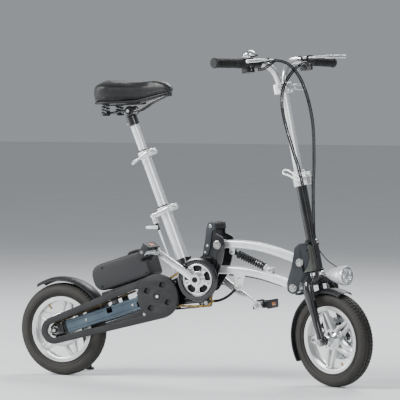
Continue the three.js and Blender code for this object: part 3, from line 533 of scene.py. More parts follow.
def bolts(rows, material, at=WORLD):
    """Bolts at [(point, facing, size)]."""
    base = bpy.data.meshes.new("marks")
    base.from_pydata([r[0] for r in rows], [], [])
    way = base.attributes.new("facing", "FLOAT_VECTOR", "POINT")
    way.data.foreach_set("vector", [float(c) for r in rows for c in r[1]])
    big = base.attributes.new("size", "FLOAT", "POINT")
    big.data.foreach_set("value", [float(r[2]) for r in rows])
    return grow(BOLTS, {"Item": raw(socket_bolt(material))}, material, at, base)


def wrap(circles, seg=48):
    """Convex outline round circles (x, z, r), as a belt lies."""
    pts = sorted(polar((x, z), r, 360 * i / seg) for x, z, r in circles for i in range(seg))

    def half(points):
        h = []
        for p in points:
            while len(h) > 1 and ((h[-1][0] - h[-2][0]) * (p[1] - h[-2][1])
                                  - (h[-1][1] - h[-2][1]) * (p[0] - h[-2][0])) <= 1e-6:
                h.pop()
            h.append(p)
        return h[:-1]

    return half(pts) + half(pts[::-1])


PITCH = 12.7


def chain(circles, y, material, at=WORLD):
    """Roller chain round circles: pairs of inner and outer links laid on the belt line."""
    loop = wrap(circles, 96)
    length = sum(math.dist(a, b) for a, b in zip(loop, loop[1:] + loop[:1]))
    route = route_curve([(x, y, z) for x, z in loop], cyclic=True)
    waist = [(-6, -4, 3), (0, -2.9, 4), (6, -4, 3), (10.3, 0, 3.5), (6, 4, 3), (0, 2.9, 4), (-6, 4, 3),
             (-10.3, 0, 3.5)]
    parts = []
    for middle, shift in ((3.1, 0), (1.9, PITCH)):  # the outer link, then the inner one a pitch further
        at_link = Matrix.Translation((shift, 0, 0))
        parts += [plate(waist, s * middle - 0.5, s * middle + 0.5, material, bevel=0.2, at=at_link)
                  for s in (-1, 1)]
    for radius, half, edge, seg in ((3.0, 1.6, 0.2, 12), (1.7, 4, 0.3, 10)):  # rollers, then pins
        parts += [cross((x, 0), radius, -half, half, material, edge=edge, seg=seg)
                  for x in (-PITCH / 2, PITCH / 2)]
    values = {"Path": route, "Item": raw(joined(parts)), "Count": round(length / (2 * PITCH))}
    return grow(FOLLOW, values, material, at)

# %% [markdown]
# ## Finishes
# Each finish starts from how the real surface is made. Colours are written as screen hex values and
# turned to linear light once. A broad noise shifts the colour a little, a fine one gives the grain,
# and roughness follows both, so no surface is one flat tone.

# %% Colour and shared finish
def linear(code):
    """sRGB hex to linear RGBA."""
    out = []
    for i in (1, 3, 5):
        c = int(code[i:i + 2], 16) / 255
        out.append(c / 12.92 if c <= 0.04045 else ((c + 0.055) / 1.055) ** 2.4)
    return (*out, 1.0)


def finish(name, dark, light, rough, grain_mm, depth_mm, metallic=0.0, patch_mm=60.0, stretch=(1, 1, 1),
           fixed=None):
    """A surface with broad colour patches and a fine grain. rough is (smooth, dull)."""
    mat = bpy.data.materials.new(name)
    mat.use_nodes = True
    tree = mat.node_tree
    shader = tree.nodes["Principled BSDF"]
    where = add(tree, "ShaderNodeTexCoord")
    place = add(tree, "ShaderNodeMapping", sockets={"Vector": where.outputs["Object"], "Scale": stretch})
    broad = add(tree, "ShaderNodeTexNoise",
                sockets={"Vector": where.outputs["Object"], "Scale": 1000 / patch_mm, "Detail": 4.0})
    fine = add(tree, "ShaderNodeTexNoise", sockets={"Vector": place.outputs[0], "Scale": 1000 / grain_mm,
                                                    "Detail": 3.0, "Roughness": 0.6})
    mix = add(tree, "ShaderNodeMath", {"operation": "MULTIPLY_ADD"},
              {0: fine.outputs[0], 1: 0.35, 2: broad.outputs[0]})
    tint = add(tree, "ShaderNodeValToRGB", sockets={"Fac": mix.outputs[0]})
    tint.color_ramp.elements[0].position = 0.45
    tint.color_ramp.elements[1].position = 0.9
    tint.color_ramp.elements[0].color = linear(dark)
    tint.color_ramp.elements[1].color = linear(light)
    dull = add(tree, "ShaderNodeMapRange",
               sockets={"Value": mix.outputs[0], "From Min": 0.45, "From Max": 0.9,
                        "To Min": rough[0], "To Max": rough[1]})
    bump = add(tree, "ShaderNodeBump",
               sockets={"Height": fine.outputs[0], "Strength": 0.6, "Distance": depth_mm / 1000})
    tree.links.new(tint.outputs[0], shader.inputs["Base Color"])
    tree.links.new(dull.outputs[0], shader.inputs["Roughness"])
    tree.links.new(bump.outputs[0], shader.inputs["Normal"])
    shader.inputs["Metallic"].default_value = metallic
    for key, value in (fixed or {}).items():
        shader.inputs[key].default_value = value
    return mat


# %% Metals
# Cast aluminium under clear lacquer: soft grain a few tenths of a millimetre across, bright but broad
# highlights.
CAST = finish("cast_aluminium_lacquered", "#c9cbcc", "#f2f2f0", (0.24, 0.38), 0.9, 0.05, 0.75, 80,
              fixed={"Coat Weight": 0.3, "Coat Roughness": 0.2})
# Polished aluminium: fine lines from the polishing wheel, sharp highlights.
POLISHED = finish("polished_aluminium", "#d9dbdd", "#f6f7f7", (0.18, 0.3), 0.5, 0.008, 0.9, 50, (1, 6, 1))
# Silver-grey powder coat over aluminium beams and tubes: satin, faint orange peel.
SATIN = finish("silver_satin_coat", "#d3d6d9", "#f3f5f6", (0.24, 0.36), 1.6, 0.02, 0.5, 120)
# Bead-blasted light alloy for clamps and the head collar, almost white.
BLASTED = finish("bead_blasted_alloy", "#d0d2d3", "#f2f3f3", (0.3, 0.44), 0.4, 0.03, 0.6, 60)
# Blue-grey anodised box arms: the colour is in the oxide, so it keeps a metal sheen.
ANODISED = finish("blue_grey_anodised", "#3a4852", "#56646f", (0.3, 0.42), 0.8, 0.02, 0.6, 90)
# Gloss black enamel with orange peel about 2 mm across.
ENAMEL = finish("black_gloss_enamel", "#0d0e10", "#1c1e21", (0.16, 0.28), 2.2, 0.02, 0.0, 90,
                fixed={"Coat Weight": 0.6, "Coat Roughness": 0.1})
# Dark grey satin powder coat on the head bracket and strap plates.
GRAPHITE = finish("dark_grey_powder_coat", "#1f2226", "#34383d", (0.34, 0.48), 1.2, 0.04, 0.25, 90)
# Zinc-plated steel bolts and axle ends.
ZINC = finish("zinc_plated_steel", "#9a9c9b", "#cfd1cf", (0.22, 0.4), 0.7, 0.02, 1.0, 12)
# The raised front of the head bracket: the same coat, painted paler as a painted highlight for the face that
# catches the light. Its paleness is painted light, not wear.
PAINTED_HIGHLIGHT_COAT = finish("grey_coat_painted_highlight", "#4c4e4a", "#777a73", (0.36, 0.5), 1.2, 0.04, 0.3, 90)
# Black oxide bolts.
OXIDE = finish("black_oxide_steel", "#121314", "#26282a", (0.28, 0.45), 0.6, 0.02, 0.6, 12)
# Brass-tinted chain, oily, its tone shifting in small patches.
BRASSY = finish("oiled_brassy_chain_steel", "#4a3f28", "#a58c58", (0.28, 0.5), 1.2, 0.03, 0.9, 9)
CHAIN_BLACK = finish("oiled_black_chain_steel", "#17130e", "#4c4332", (0.3, 0.55), 1.2, 0.03, 0.85, 9)
BRASS = finish("brass_valve", "#8c6b2e", "#c79f55", (0.25, 0.4), 0.8, 0.02, 1.0, 10)
BRAKE_STEEL = finish("ground_stainless_rotor", "#8f9396", "#c4c7c9", (0.2, 0.38), 0.35, 0.02, 1.0, 30,
                     (1, 8, 1))
SPRING_BLACK = finish("black_coated_spring_steel", "#101113", "#26282b", (0.25, 0.4), 0.8, 0.02, 0.3, 20)

# %% Plastics, rubber, leatherette
# Injection-moulded ABS with an etched grain near half a millimetre.
MOULDED = finish("moulded_black_plastic", "#0e0f11", "#1a1c1f", (0.42, 0.58), 0.6, 0.06, 0.0, 70)
# Battery case: matt paint on ABS, dark grey.
CASE = finish("matt_grey_battery_case", "#151719", "#202225", (0.5, 0.64), 0.5, 0.04, 0.0, 110)
# Butyl tyre: matt, with a bloom that greys the sidewall.
TYRE = finish("butyl_tyre_rubber", "#181715", "#302e2a", (0.62, 0.82), 0.8, 0.05, 0.0, 40)
RUBBER = finish("black_grip_rubber", "#0e0e0f", "#1c1c1d", (0.55, 0.75), 0.5, 0.05, 0.0, 30)
CABLE = finish("black_cable_jacket", "#0c0c0d", "#1a1a1c", (0.34, 0.5), 0.7, 0.02, 0.0, 25)
WHITE = finish("white_moulded_cap", "#c9cac8", "#ecedeb", (0.35, 0.5), 0.6, 0.02, 0.0, 15)
# Amber reflector: acrylic over tiny prisms.
AMBER = finish("amber_reflector_acrylic", "#c2560c", "#f0922a", (0.12, 0.22), 2.0, 0.2, 0.0, 12,
               fixed={"Coat Weight": 0.8, "Coat Roughness": 0.05})
CHROME = finish("vacuum_chromed_reflector", "#d5d8da", "#f4f5f5", (0.05, 0.1), 3.0, 0.01, 1.0, 30)

# %% [markdown]
# The grain is pressed into the cover. Voronoi cells with soft valleys give the pebbles, and a bump
# keeps them out of the outline.

# %% Leatherette: pebbles about 1.4 mm across
LEATHER = finish("black_leatherette", "#0b0b0c", "#181819", (0.34, 0.5), 0.6, 0.02, 0.0, 90,
                 fixed={"Sheen Weight": 0.06, "Sheen Roughness": 0.5})
tree = LEATHER.node_tree
where = add(tree, "ShaderNodeTexCoord")
pebbles = add(tree, "ShaderNodeTexVoronoi", {"feature": "DISTANCE_TO_EDGE"},
              {"Vector": where.outputs["Object"], "Scale": 1000 / 1.4, "Randomness": 0.9})
soft = add(tree, "ShaderNodeMapRange", {"interpolation_type": "SMOOTHSTEP"},
           {"Value": pebbles.outputs[0], "From Min": 0.0, "From Max": 0.25})
grain = add(tree, "ShaderNodeBump", sockets={"Height": soft.outputs[0], "Strength": 0.5, "Distance": 0.00012})
tree.links.new(grain.outputs[0], tree.nodes["Principled BSDF"].inputs["Normal"])

# %% Lens: clear polycarbonate with a faint ripple
LENS = finish("clear_polycarbonate_lens", "#eef2f4", "#ffffff", (0.02, 0.06), 8.0, 0.02, 0.0, 40,
              fixed={"Transmission Weight": 0.9, "IOR": 1.5})
print("finishes:", len(bpy.data.materials))

# %% [markdown]
# ## Camera and stage
# A long lens far away, slightly above the saddle, looking down a little: the view flattens the bike as
# a side drawing does. The camera comes first, so every later piece can be judged in its frame.

# %% Camera, floor, light
VIEW_TURN, VIEW_DROP, VIEW_FAR, VIEW_HIGH, VIEW_X = 24.0, 2.45, 9898, 1023, 502.4
camera_data = bpy.data.cameras.new("view")
camera_data.lens = 270
camera_data.sensor_width = 36
camera = placed("view", camera_data)
camera.location = MM @ Vector((VIEW_X + VIEW_FAR * math.sin(math.radians(VIEW_TURN)),
                               -VIEW_FAR * math.cos(math.radians(VIEW_TURN)), VIEW_HIGH))
camera.rotation_euler = (math.radians(90 - VIEW_DROP), 0, math.radians(VIEW_TURN))
camera_data.clip_end = 100
bpy.context.scene.camera = camera

PAPER = finish("pale_studio_paper", "#e3e5e6", "#e9eaeb", (0.9, 0.95), 4.0, 0.01, 0.0, 400)
floor_mesh = bpy.data.meshes.new("floor")
FLOOR_HALF = 30  # metres
floor_mesh.from_pydata([(x, y, 0) for x, y in ((-FLOOR_HALF, -FLOOR_HALF), (FLOOR_HALF, -FLOOR_HALF),
                                               (FLOOR_HALF, FLOOR_HALF), (-FLOOR_HALF, FLOOR_HALF))], [],
                       [(0, 1, 2, 3)])
floor_mesh.materials.append(PAPER)
placed("floor", floor_mesh)

world = bpy.data.worlds.new("studio")
bpy.context.scene.world = world
world.use_nodes = True
world.node_tree.nodes["Background"].inputs["Color"].default_value = (0.90, 0.95, 1.0, 1)
world.node_tree.nodes["Background"].inputs["Strength"].default_value = 0.34


def softbox(name, place, size, power):
    """A soft rectangular lamp that faces the bike."""
    data = bpy.data.lights.new(name, "AREA")
    data.shape = "RECTANGLE"
    data.size, data.size_y = size
    data.energy = power
    light = placed(name, data)
    light.location = place
    light.rotation_euler = (Vector((0, 0, 0.5)) - Vector(place)).to_track_quat("-Z", "Y").to_euler()


softbox("key", (-2.6, -3.6, 3.4), (2.6, 2.2), 400)
softbox("strip", (-4.2, -1.2, 1.2), (0.9, 2.6), 60)
softbox("fill", (3.4, -3.4, 2.4), (1.4, 2.2), 70)
softbox("back", (0.4, 3.2, 3.6), (3.4, 1.8), 190)

# %% [markdown]
# ## Wheels
# Each wheel is a balloon tyre on a light-alloy wheel cast in one piece. The tyre's section is a lathe
# profile; side knobs and centre blocks repeat round it, so a tree sets them. Each of the five spokes is
# two arms that meet at the rim like the letter A; one is modelled and the tree turns four more.

# %% Tyre with tread
BEAD_R = 111.4


def tyre(c, at=WORLD):
    """Tyre body, sidewall beads and five rows of tread blocks."""
    side = [(BEAD_R, 0), (BEAD_R, 17), (113, 19.2), (117, 21.5), (121, 24.6), (126, 26.9), (132, 27.8),
            (138, 27.2), (143, 25), (147.5, 21), (150.6, 15.5), (152.4, 8), (153, 0)]
    other = [(r, -y) for r, y in side[1:-1]]
    bits = [turned(c, [side[0], *other, side[-1], *side[-2:0:-1], side[0]], TYRE, at, 128)]
    for lip_r, lip_y in ((115.2, 21.2), (123.2, 26.6)):
        for s in (-1, 1):
            bits.append(band(c, lip_r - 0.9, lip_r + 0.9, s * lip_y - 0.9, s * lip_y + 0.9, TYRE, at, 128))
    # Rows of tread: place across and out from the axle, lean, block size, count, first angle.
    rows = []
    for s, start in ((-1, 0), (1, 2.5)):
        rows += [(s * 20.8, 147.0, -s * 50, (7.4, 10, 2.2), 80, start),
                 (s * 11.5, 152.0, -s * 16, (9.6, 8.8, 3.4), 76, start + 3)]
    for across, out, lean, size, count, start in rows + [(0, 153.6, 0, (11, 10, 3.6), 70, 1)]:
        seat = Matrix.Translation((0, across, out)) @ Matrix.Rotation(math.radians(lean), 4, "X")
        bits.append(ring_of(block((0, 0, 0), size, TYRE, bevel=0.5, at=seat), count, c, TYRE, at, start))
    return bits


# %% [markdown]
# The wheel is cast in one piece. A boolean could cut its openings, but a turned rim with one A-shaped
# spoke, repeated by the tree, keeps the edges round and the mesh light.

# %% Cast wheel and its two hubs
def cast_wheel(c, phase, hub, at, valve):
    """Rim, five A-shaped spokes and valve; phase and valve are angles, hub is where the spokes start."""
    rim = turned(c, [(96.5, -19), (98.5, -20), (110.6, -20), (111, -19.2), (111, 19.2), (110.6, 20),
                     (98.5, 20), (96.5, 19), (96.5, 16.4), (101, 13.6), (103, 9), (103, -9), (101, -13.6),
                     (96.5, -16.4), (96.5, -19)], CAST, at, 128)
    arms = []
    for s in (-1, 1):
        foot = polar((0, 0), hub - 3, 90 + s * 27)
        tip = polar((0, 0), 104, 90 + s * 3.6)
        arms.append(strut((foot[0], 0, foot[1]), (tip[0], 0, tip[1]), (17, 10.5), (14, 8), CAST, bevel=1.8))
    knot = polar((0, 0), 97, 90)
    arms.append(block((knot[0], 0, knot[1]), (17, 14, 14), CAST, bevel=3))
    spokes = ring_of(joined(arms), 5, c, CAST, at, phase - 90)
    stem = [(x, 0, z) for x, z in (polar(c, r, valve) for r in (99, 80))]
    return [rim, spokes, rod(*stem, 2.9, BRASS, at, edge=0.8, seg=16)]


def facing_y(rows):
    """Bolt rows from (x, z, y, size): each faces away from the bike's middle plane."""
    return [((x, y, z), (0, math.copysign(1, y), 0), s) for x, z, y, s in rows]


rear = cast_wheel(AXLE, 7, 50, WORLD, 125)
rear.append(turned(AXLE, [(0, -27), (22, -27), (24, -26), (40, -24.5), (54, -20.5), (57.5, -17.5),
                          (59, -14), (59, 14), (57.5, 17.5), (54, 20.5), (40, 24.5), (25, 29.5),
                          (23.5, 30), (0, 30)], CAST, seg=96))
for s in (-1, 1):
    rear.append(turned(AXLE, [(47, s * 22), (50, s * 22), (50, s * 24.4), (47, s * 24.8), (47, s * 22)],
                       CAST, seg=96))
rear.append(bolts(facing_y([(*polar(AXLE, 43.5, 60 * k + 20), s * 24, 0.8) for k in range(6)
                            for s in (-1, 1)]), ZINC))
piece("wheel_rear", "rear_wheel", "polished", rear, "rear_rim")
piece("tyre_rear", "rear_wheel", "tyre", tyre(AXLE), "rear_tyre")

front = cast_wheel(FRONT_AXLE, 30, 31, STEER, 281)
front.append(turned(FRONT_AXLE, [(0, -45), (15, -45), (16, -44), (16, -34), (13, -31), (13, -16),
                                 (16, -13), (30, -9.5), (32, -8), (32, 8), (30, 9.5), (16, 13), (13, 16),
                                 (13, 23), (20, 25), (20, 27.6), (16, 28), (16, 44), (15, 45), (0, 45)],
                    CHROME, STEER, 64))
for s in (-1, 1):
    front.append(turned(FRONT_AXLE, [(26, s * 7), (34, s * 7), (34, s * 10.2), (26, s * 10.2),
                                     (26, s * 7)], CAST, STEER, 64))
piece("wheel_front", "front_wheel", "polished", front, "front_rim")
piece("tyre_front", "front_wheel", "tyre", tyre(FRONT_AXLE, STEER), "front_tyre")

# %% [markdown]
# A stamped steel disc. Filling one outline with holes gives the same flat sheet as the stamping tool.

# %% Brake disc: drilled and cut out like a star
holes = [circle(polar(FRONT_AXLE, r, 18 * k + o), 2.6, 8) for k in range(20) for r, o in ((65, 0), (59.5, 9))]
for k in range(5):
    corners = ((50, -24, 6), (53, 0, 3), (50, 24, 6), (28, 22, 5), (28, -22, 5))
    holes.append([(*polar(FRONT_AXLE, r, 72 * k + turn), soft) for r, turn, soft in corners])
holes.append(circle(FRONT_AXLE, 16.4))
disc = [plate(circle(FRONT_AXLE, 70, 72), 28.2, 30.3, BRAKE_STEEL, holes, 0.3, STEER)]
disc.append(bolts(facing_y([(*polar(FRONT_AXLE, 22, 72 * k + 36), 31, 0.8) for k in range(5)]), OXIDE, STEER))
piece("brake_disc", "front_wheel", "satin", disc, "front_rotor")

# %% [markdown]
# ## Rear arm
# Two anodised box sections swing on the jackshaft and hold the wheel between axle blocks. The chain
# guard is one moulding: a long loop that follows the chain, with a cover disc over the big sprocket.
# The battery case sits on a black tray across the arms.

# %% Arms and axle blocks
ARM_LEN = math.dist(AXLE, JACK)
arms = []
for s in (-1, 1):
    y0, y1 = span(s, 45, 61)
    outline = [(32, -21, 4), (376, -21, 10), (ARM_LEN, -30, 28), (ARM_LEN + 30, 0, 28), (ARM_LEN, 30, 28),
               (376, 21, 10), (32, 21, 4)]
    arms.append(plate(outline, y0, y1, ANODISED, [circle((ARM_LEN, 0), 13.2)], 2.2, ARM))
    for up in (-11, 11):
        arms.append(block((200, s * 61, up), (330, 1.0, 1.2), OXIDE, bevel=0.3, at=ARM))
    arms.append(block((38, s * 53, 0), (10, 17, 43), OXIDE, bevel=1, at=ARM))
for d, up in ((212, 8), (326, -4)):
    arms.append(block((d, 0, up), (26, 122, 24), ANODISED, bevel=3, at=ARM))
arms.append(block((288, 0, 67), (192, 86, 12), MOULDED, bevel=3, at=ARM))
arms.append(block((288, 0, 58), (150, 70, 8), MOULDED, bevel=2, at=ARM))
for s in (-1, 1):
    for d in (232, 330):
        arms.append(plate([(d - 13, 14, 2), (d + 13, 14, 2), (d + 9, 72, 5), (d - 9, 72, 5)], s * 41 - 4,
                          s * 41 + 4, ENAMEL, bevel=1, at=ARM))
        arms.append(block((d, s * 46, 20), (26, 20, 8), ENAMEL, bevel=1.5, at=ARM))
arms.append(plate([(38, 18, 4), (84, 18, 4), (78, 61, 8), (44, 61, 8)], 43, 57, ENAMEL, bevel=1.5, at=ARM))
arms.append(bolts([((d, s * 61, u), (0, s, 0), 0.9) for s in (-1, 1) for d,
                   u in ((120, 0), (300, 0), (357, 0))]
                  + [((d, s * 45.5, 46), (0, s, 0), 0.8) for s in (-1, 1) for d in (232, 330)]
                  + [((52, 57, 42), (0, 1, 0), 0.9), ((71, 57, 42), (0, 1, 0), 0.9)], ZINC, ARM))
piece("rear_swing_arm", "rear_arm", "blue_grey", arms, "rear_arm")

axle = []
for s in (-1, 1):
    axle.append(plate([(-17, -17, 4), (27, -18, 2), (27, 18, 2), (-17, 17, 4)], s * 53 - 7.8,
                      s * 53 + 7.8, ENAMEL, bevel=1.5, at=ARM))
    axle.append(rod((-16, s * 53, 0), (-27, s * 53, 0), 3, ZINC, ARM, seg=16))
    axle.append(nut((-17, s * 53, 0), (-1, 0, 0), 6, 4, 0.8, ARM))
axle.append(cross(AXLE, 6, -78, 74, ZINC, edge=1.2, seg=24))
for a, b in ((-61, -64), (61, 64)):
    axle.append(turned(AXLE, [(0, min(a, b)), (13, min(a, b)), (13, max(a, b)), (0, max(a, b))], ZINC))
for y0 in (-73.5, 64.2):
    axle.append(turned(AXLE, [(0, y0), (10, y0), (11, y0 + 1.2), (11, y0 + 8), (10, y0 + 9.2),
                              (0, y0 + 9.2)], OXIDE, seg=48, hexed=(1, 2, 3, 4)))
piece("rear_axle_set", "rear_arm", "black", axle, "rear_axle")

# %% [markdown]
# One moulding with a thin wall. It could be shelled from a solid; here the face, its lips and the cover
# disc are plates along the same belt line, so the wall stays even.

# %% Chain guard
outer = wrap([(*AXLE, 45), (*JACK, 74)], 96)
slot_line = wrap([(*AXLE, 24), (*JACK, 50)], 96)
guard = [plate(outer, -81, -78, MOULDED, [slot_line], 1.2)]
windows = []
for dx, dz in ((-38, 17), (17, 39), (38, -18), (-24, -39)):
    a = math.degrees(math.atan2(dz, dx))
    windows.append([(*polar((JACK[0] + dx, JACK[1] + dz), 14, a + t), 6) for t in (45, 135, 225, 315)])
guard.append(plate(circle(JACK, 73.5, 72), -82.6, -79.2, MOULDED, windows, 1.2))
for w in windows:
    guard.append(tube([(p[0], -82.4, p[1]) for p in rounded(w)], 1.1, MOULDED, steps=0, cyclic=True, sides=2))
lip_in = wrap([(*AXLE, 42.4), (*JACK, 71.4)], 96)
guard.append(plate(outer, -81, -69, MOULDED, [lip_in], 0.8))
edge_out = wrap([(*AXLE, 26.2), (*JACK, 52.2)], 96)
guard.append(plate(edge_out, -81, -72, MOULDED, [slot_line], 0.7))
guard.append(turned(JACK, [(0, -86), (3.4, -86), (4.6, -85), (5, -82), (0, -82)], WHITE, seg=40))
guard.append(turned(JACK, [(5, -85), (9, -85), (11, -82), (5, -82), (5, -85)], MOULDED, seg=48))
guard.append(turned(JACK, [(13, -84), (19, -84), (21, -82), (13, -82), (13, -84)], MOULDED, seg=48))
guard.append(band(JACK, 13.5, 66, -76.2, -74.8, MOULDED, seg=72))
guard.append(plate([(186, -29, 3), (346, -25, 3), (346, -47, 3), (186, -50, 3)], -61, -58, MOULDED,
                   bevel=0.8, at=ARM))
for up in (40, -42):
    guard.append(rod((340, -79, up), (340, -62, up), 6.6, MOULDED, ARM, seg=24))
    guard.append(rod((340, -81.6, up), (340, -80, up), 5.4, ZINC, ARM, seg=20))
guard += [block((340, -64, 28), (16, 5, 30), MOULDED, at=ARM),
          block((340, -64, -29), (16, 5, 32), MOULDED, at=ARM)]
piece("chain_guard_cover", "rear_arm", "plastic", guard, "chain_guard")
piece("drive_chain_rear", "rear_arm", "chain", [chain([(*AXLE, 25.6), (*JACK, 49)], -32.5, CHAIN_BLACK)],
      "rear_chain")


# %% [markdown]
# Each sprocket is a disc with teeth. One tooth is drawn and the ring tree copies it, as a hob would cut
# them at equal steps.

# %% Sprockets with teeth
def sprocket(c, teeth, r, y, material, thick=2.2, at=WORLD):
    """A toothed disc: r is its pitch radius, y its middle plane."""
    bits = [turned(c, [(0, y - thick / 2), (r - 3.4, y - thick / 2), (r - 3.4, y + thick / 2),
                       (0, y + thick / 2)], material, at)]
    tooth = plate([(-3.4, r - 6, 1), (3.4, r - 6, 1), (1.1, r + 2.6, 0.8), (-1.1, r + 2.6, 0.8)],
                  y - thick / 2 + 0.1, y + thick / 2 - 0.1, material, bevel=0.3)
    bits.append(ring_of(tooth, teeth, c, material, at, 2))
    return bits


small = sprocket(AXLE, 13, 25.6, -32.5, OXIDE)
small += [turned(AXLE, [(0, -38), (13, -38), (14, -37), (14, -28), (13, -27.4), (0, -27.4)], ZINC, seg=48)]
piece("freewheel", "rear_sprocket", "chain", small, "rear_sprocket")
shaft = sprocket(JACK, 24, 49, -32.5, OXIDE) + sprocket(JACK, 15, 30, -68.5, OXIDE)
shaft += [cross(JACK, 12, -76, 64, ZINC, edge=1.5)]
shaft += [turned(JACK, [(0, 60), (14, 60), (15, 61), (15, 64.6), (13, 66), (0, 66)], OXIDE)]
piece("jackshaft_set", "jackshaft", "satin", shaft, "jackshaft")

# %% [markdown]
# Two moulded halves with matt paint. A soft-edged plate gives the rounded case, and two thin frames
# stand proud where the halves meet.

# %% Battery case
PACK = ARM @ Matrix.Translation((285, 0, 120.5))
shell = [(-106, -44.5, 40), (106, -44.5, 14), (106, 44.5, 24), (-106, 44.5, 42)]
case = [plate(shell, -51, 51, CASE, bevel=7, at=PACK, crease=50)]
seam_out, seam_in = [[(p[0] * kx, p[1] * kz, p[2]) for p in shell] for kx,
                     kz in ((1.004, 1.01), (0.985, 0.96))]
for y in (-28, 28):
    case.append(plate(seam_out, y - 0.7, y + 0.7, MOULDED, [seam_in], 0.2, PACK))
case.append(turned((88, 18), [(0, -53.4), (8, -53.4), (9.5, -52.4), (9.5, -50), (0, -50)], CHROME, PACK, 40))
case.append(block((88, -53.6, 18), (1.6, 1, 8), OXIDE, bevel=0.3, at=PACK))
case += [tube([(30, y, 43), (38, y, 51), (70, y, 51), (78, y, 43)], 4, MOULDED, PACK, 4) for y in (-16, 16)]
case.append(block((54, 0, 51), (26, 34, 7), MOULDED, bevel=2.5, at=PACK))
for s in (-1, 1):
    case.append(bolts([((x, s * 51, z), (0, s, 0), 0.7) for x, z in ((-78, -30), (92, -32), (-60, 30))],
                      OXIDE, PACK))
piece("battery_box", "rear_arm", "graphite", case, "battery_case")

# %% [markdown]
# A blown plastic blade. A swept section would do as well, but rings of points give its rolled edges and
# close its ends exactly.

# %% Rear mudguard
def guard_arc(c, r, first, last, material, at=WORLD, half=33):
    """A curved blade with rolled edges, turned between two side-view angles."""
    outer = [(r - 7, -half), (r - 3, -half + 3), (r + 2.4, -half + 14), (r + 4.6, 0),
             (r + 2.4, half - 14), (r - 3, half - 3), (r - 7, half)]
    inner = [(rr - 2.6, y * 0.96) for rr, y in outer][::-1]
    loop = outer + inner
    steps = 48
    verts, faces = [], []
    n = len(loop)
    for i in range(steps + 1):
        a = first + (last - first) * i / steps
        for rr, y in loop:
            x, z = polar(c, rr, a)
            verts.append((x, y, z))
    for i in range(steps):
        for j in range(n):
            k = (j + 1) % n
            faces.append((i * n + j, i * n + k, (i + 1) * n + k, (i + 1) * n + j))
    for row in (0, steps):
        for j in range(len(outer) - 1):
            faces.append((row * n + j, row * n + j + 1, row * n + n - 2 - j, row * n + n - 1 - j))
    return mesh_bit(verts, faces, material, at, 40)


rear_guard = [guard_arc(AXLE, 173, 37, 121, MOULDED), block((171, 0, 32), (8, 50, 56), MOULDED, at=ARM),
              block((184, 0, 10), (26, 50, 8), MOULDED, at=ARM)]
piece("rear_blade_guard", "rear_arm", "plastic", rear_guard, "rear_mudguard")

# %% [markdown]
# A steel leg with a rubber shoe and a flat foot, so rods and one strut are enough.

# %% Kickstand
STAND_HEAD, STAND_FOOT = (30, 78.4, 185.2), (6, 184, 8)
stand = [rod((30, 66.3, 180.6), STAND_HEAD, 10, ENAMEL), rod((30, 70, 182), STAND_FOOT, 7, ENAMEL, r2=6.2),
         rod((12, 156, 51), (6, 184.2, 8), 8, MOULDED, r2=8.6),
         strut((-7, 184, 5.6), (19, 186, 5.6), (16, 8), (16, 8), MOULDED)]
stand.append(nut(STAND_HEAD, (0, 0.935, 0.354), 7, 4, 1))
piece("side_stand", "kickstand", "black", stand, "kickstand")

# %% [markdown]
# ## Centre frame
# Two steel side plates hold the crank, the jackshaft, the seat tube and the rear pivots of the front beams.
# Real ones are laser cut and bent at the edges, so the plates have a thin rounded edge and big pivot bolts on
# washers.

# %% Side plates, shells and pivots
PLATE_IN, PLATE_OUT = 36, 42
side_line = [(544, 506, 10), (552, 530, 10), (574, 530, 10), (577, 492, 6), (604, 480, 16),
             (610, 456, 14), (600, 400, 10), (584, 352, 14), (552, 300, 24), (500, 288, 20),
             (400, 244, 30), (346, 270, 26), (372, 318, 20), (444, 346, 10), (470, 392, 12),
             (500, 398, 12), (530, 420, 10)]
body = []
for s in (-1, 1):
    y0, y1 = span(s, PLATE_IN, PLATE_OUT)
    body.append(plate(side_line, y0, y1, ENAMEL, bevel=1.4))
    edge_rib = [(596, 440, 6), (588, 396, 6), (574, 356, 8), (560, 360, 6), (574, 400, 8), (582, 440, 6)]
    body.append(plate(edge_rib, s * PLATE_OUT - 1.5, s * PLATE_OUT + 1.5, ENAMEL, bevel=1.0))
for c, r, y in ((CRANK, 24, 41), (JACK, 22, 44)):
    for s in (-1, 1):
        a, b = span(s, 28, y)
        body.append(turned(c, [(13.2, a), (r - 1.5, a), (r, a + 1.5), (r, b - 1.5), (r - 1.5, b),
                               (13.2, b), (13.2, a)], ENAMEL))
    body.append(band(c, r - 3, r - 0.6, -30, 30, ENAMEL))
body.append(ring((0, 0, -22), (0, 0, 88), 26, 20.4, ENAMEL, SEAT, 2))
body.append(lathe([(20.4, 84), (28, 84), (28.4, 86), (28, 91), (27, 92), (20.4, 92), (20.4, 84)],
                  (0, 0, 0), (0, 0, 1), ENAMEL, SEAT))
for c, size, tilt in (((462, -30.5, 318), (16, 19, 50), 20), ((462, 30.5, 318), (16, 19, 50), 20),
                      ((484, 0, 300), (50, 80, 18), 20), ((425, 0, 292), (60, 80, 20), 20)):
    body.append(block(c, size, ENAMEL, tilt, 3))
body.append(plate([(430, 236, 6), (566, 252, 8), (566, 284, 8), (530, 292, 6), (430, 262, 6)], -47, -41.5,
                  ENAMEL, [[(452, 244, 3), (520, 252, 3), (520, 262, 3), (452, 254, 3)]], 1.2))
body.append(cross(JOCKEY, 4, -74, -44, ZINC, seg=20))
body.append(cross(JOCKEY, 10, -65.6, -44, OXIDE))
body.append(turned(JOCKEY, [(0, -75.5), (6.5, -75.5), (7, -74.5), (7, -72), (0, -72)], ZINC, seg=24,
                   hexed=(1, 2, 3)))
